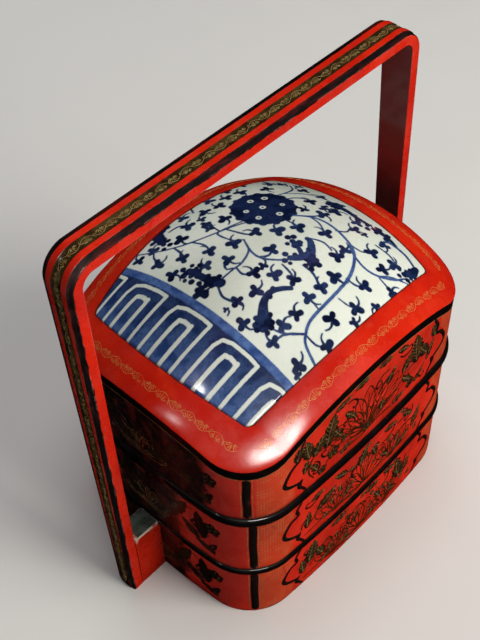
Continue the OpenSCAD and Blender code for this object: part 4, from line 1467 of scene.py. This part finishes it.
def cut_block(made, top):
    """Bevels a block's edges, save those against the post, and marks its top and upper edges."""
    mesh = made.data
    b = bmesh.new()
    b.from_mesh(mesh)
    bmesh.ops.recalc_face_normals(b, faces=b.faces)
    far = max(abs(v.co.x) for v in b.verts) - 0.01 * MM
    edges = [e for e in b.edges if len(e.link_faces) == 2 and e.calc_face_angle(0) > math.radians(40)
             and min(abs(v.co.x) for v in e.verts) < far]
    bmesh.ops.bevel(b, geom=edges, offset=0.55 * MM, segments=3, profile=0.5, affect="EDGES",
                    clamp_overlap=True)
    bmesh.ops.triangulate(b, faces=[f for f in b.faces if len(f.verts) > 4])
    bmesh.ops.subdivide_edges(b, edges=[e for e in b.edges if e.calc_length() > 6 * MM], cuts=3,
                              use_grid_fill=True)
    bmesh.ops.triangulate(b, faces=[f for f in b.faces if len(f.verts) > 4])
    b.to_mesh(mesh)
    b.free()
    z = np.array([v.co.z for v in mesh.vertices]) / MM
    facing = np.array([v.normal.z for v in mesh.vertices])
    is_top = ((z > top - 0.15) & (facing > 0.8)).astype(np.float32)
    is_edge = ((z > top - 0.75) & (facing <= 0.95)).astype(np.float32)
    for key, numbers in (("top", is_top), ("arris", is_edge)):
        store(mesh, key, numbers)
    mesh.shade_smooth()
    mesh.set_sharp_from_angle(angle=math.radians(50))


foot_block("foot_block_right_cut", "foot_block_right", 1)
foot_block("foot_block_left_cut", "foot_block_left", -1)

# ---------------------------------------------------------------- carried-over CAD nodes

for node, finish in (("base_floor", inside_finish), ("middle_floor", inside_finish),
                     ("lid_backing", inside_finish), ("foot_dowels", bamboo_finish),
                     ("shard_bed", putty_finish)):
    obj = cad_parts[node]
    obj.data.materials.clear()
    obj.data.materials.append(finish)

# ---------------------------------------------------------------- floor, light and camera

def floor_plane():
    rows = np.linspace(-2500, 2500, 41)
    x, y = np.meshgrid(rows, rows)
    points = np.column_stack([x.ravel(), y.ravel(), np.zeros(x.size)]) * MM
    index = np.arange(x.size).reshape(x.shape)
    mesh = bpy.data.meshes.new("floor")
    mesh.from_pydata(points.tolist(), [], grid_faces(index))
    mesh.materials.append(make_ground())
    made = bpy.data.objects.new("floor", mesh)
    made.visible_glossy = False
    bpy.context.scene.collection.objects.link(made)


floor_plane()


def soft_light(name, direction, distance, size, power, colour, lights=True, shines=True):
    """A rectangular lamp, which may only light surfaces or only be seen in their gloss."""
    light = bpy.data.lights.new(name, "AREA")
    light.shape = "RECTANGLE"
    light.size, light.size_y = size
    light.energy = power
    light.color = colour
    made = bpy.data.objects.new(name, light)
    made.visible_diffuse = lights
    made.visible_glossy = shines
    toward = Vector(direction).normalized()
    made.location = toward * distance + Vector((0, 0, 0.1))
    made.rotation_mode = "QUATERNION"
    made.rotation_quaternion = toward.to_track_quat("Z", "Y")
    bpy.context.scene.collection.objects.link(made)


soft_light("key", (-0.38, -0.61, 0.70), 1.25, (0.45, 0.28), 9.5, (1.0, 0.97, 0.92), lights=False)
soft_light("back", (-0.60, 0.13, 0.79), 1.5, (0.10, 0.10), 0.8, (1.0, 0.98, 0.95), lights=False)
soft_light("front", (0.28, -0.85, 0.62), 1.5, (0.8, 0.8), 20.0, (1.0, 0.97, 0.92), shines=False)
soft_light("rear", (0.45, 1.0, 0.55), 1.6, (0.8, 0.8), 5.0, (0.96, 0.98, 1.0), shines=False)
soft_light("sky", (0.1, 0.0, 1.0), 1.8, (1.0, 1.0), 11.0, (0.96, 0.98, 1.0), shines=False)

world = bpy.data.worlds.new("studio")
bpy.context.scene.world = world
world.use_nodes = True
world.node_tree.nodes["Background"].inputs["Color"].default_value = (0.8, 0.84, 0.9, 1)
world.node_tree.nodes["Background"].inputs["Strength"].default_value = 0.13
world.cycles_visibility.glossy = False
bpy.context.scene.view_settings.view_transform = "Standard"

CAMERA_AZIMUTH, CAMERA_DOWN, CAMERA_ROLL = 45.29, 48.33, -2.119
CAMERA_TARGET, CAMERA_DISTANCE = (0.00943, 0.02654, 0.1), 0.62678
camera_data = bpy.data.cameras.new("camera")
camera_data.sensor_width = 36
camera_data.lens = 62.08
camera = bpy.data.objects.new("camera", camera_data)
azimuth, down = math.radians(CAMERA_AZIMUTH), math.radians(CAMERA_DOWN)
ahead = Vector((math.sin(azimuth) * math.cos(down), math.cos(azimuth) * math.cos(down), -math.sin(down)))
level_right = ahead.cross(Vector((0, 0, 1))).normalized()
level_up = level_right.cross(ahead)
roll = math.radians(CAMERA_ROLL)
right = level_right * math.cos(roll) + level_up * math.sin(roll)
up = right.cross(ahead)
camera.matrix_world = Matrix.Translation(Vector(CAMERA_TARGET) - ahead * CAMERA_DISTANCE) @ Matrix(
    (right, up, -ahead)).transposed().to_4x4()
bpy.context.scene.collection.objects.link(camera)
bpy.context.scene.camera = camera
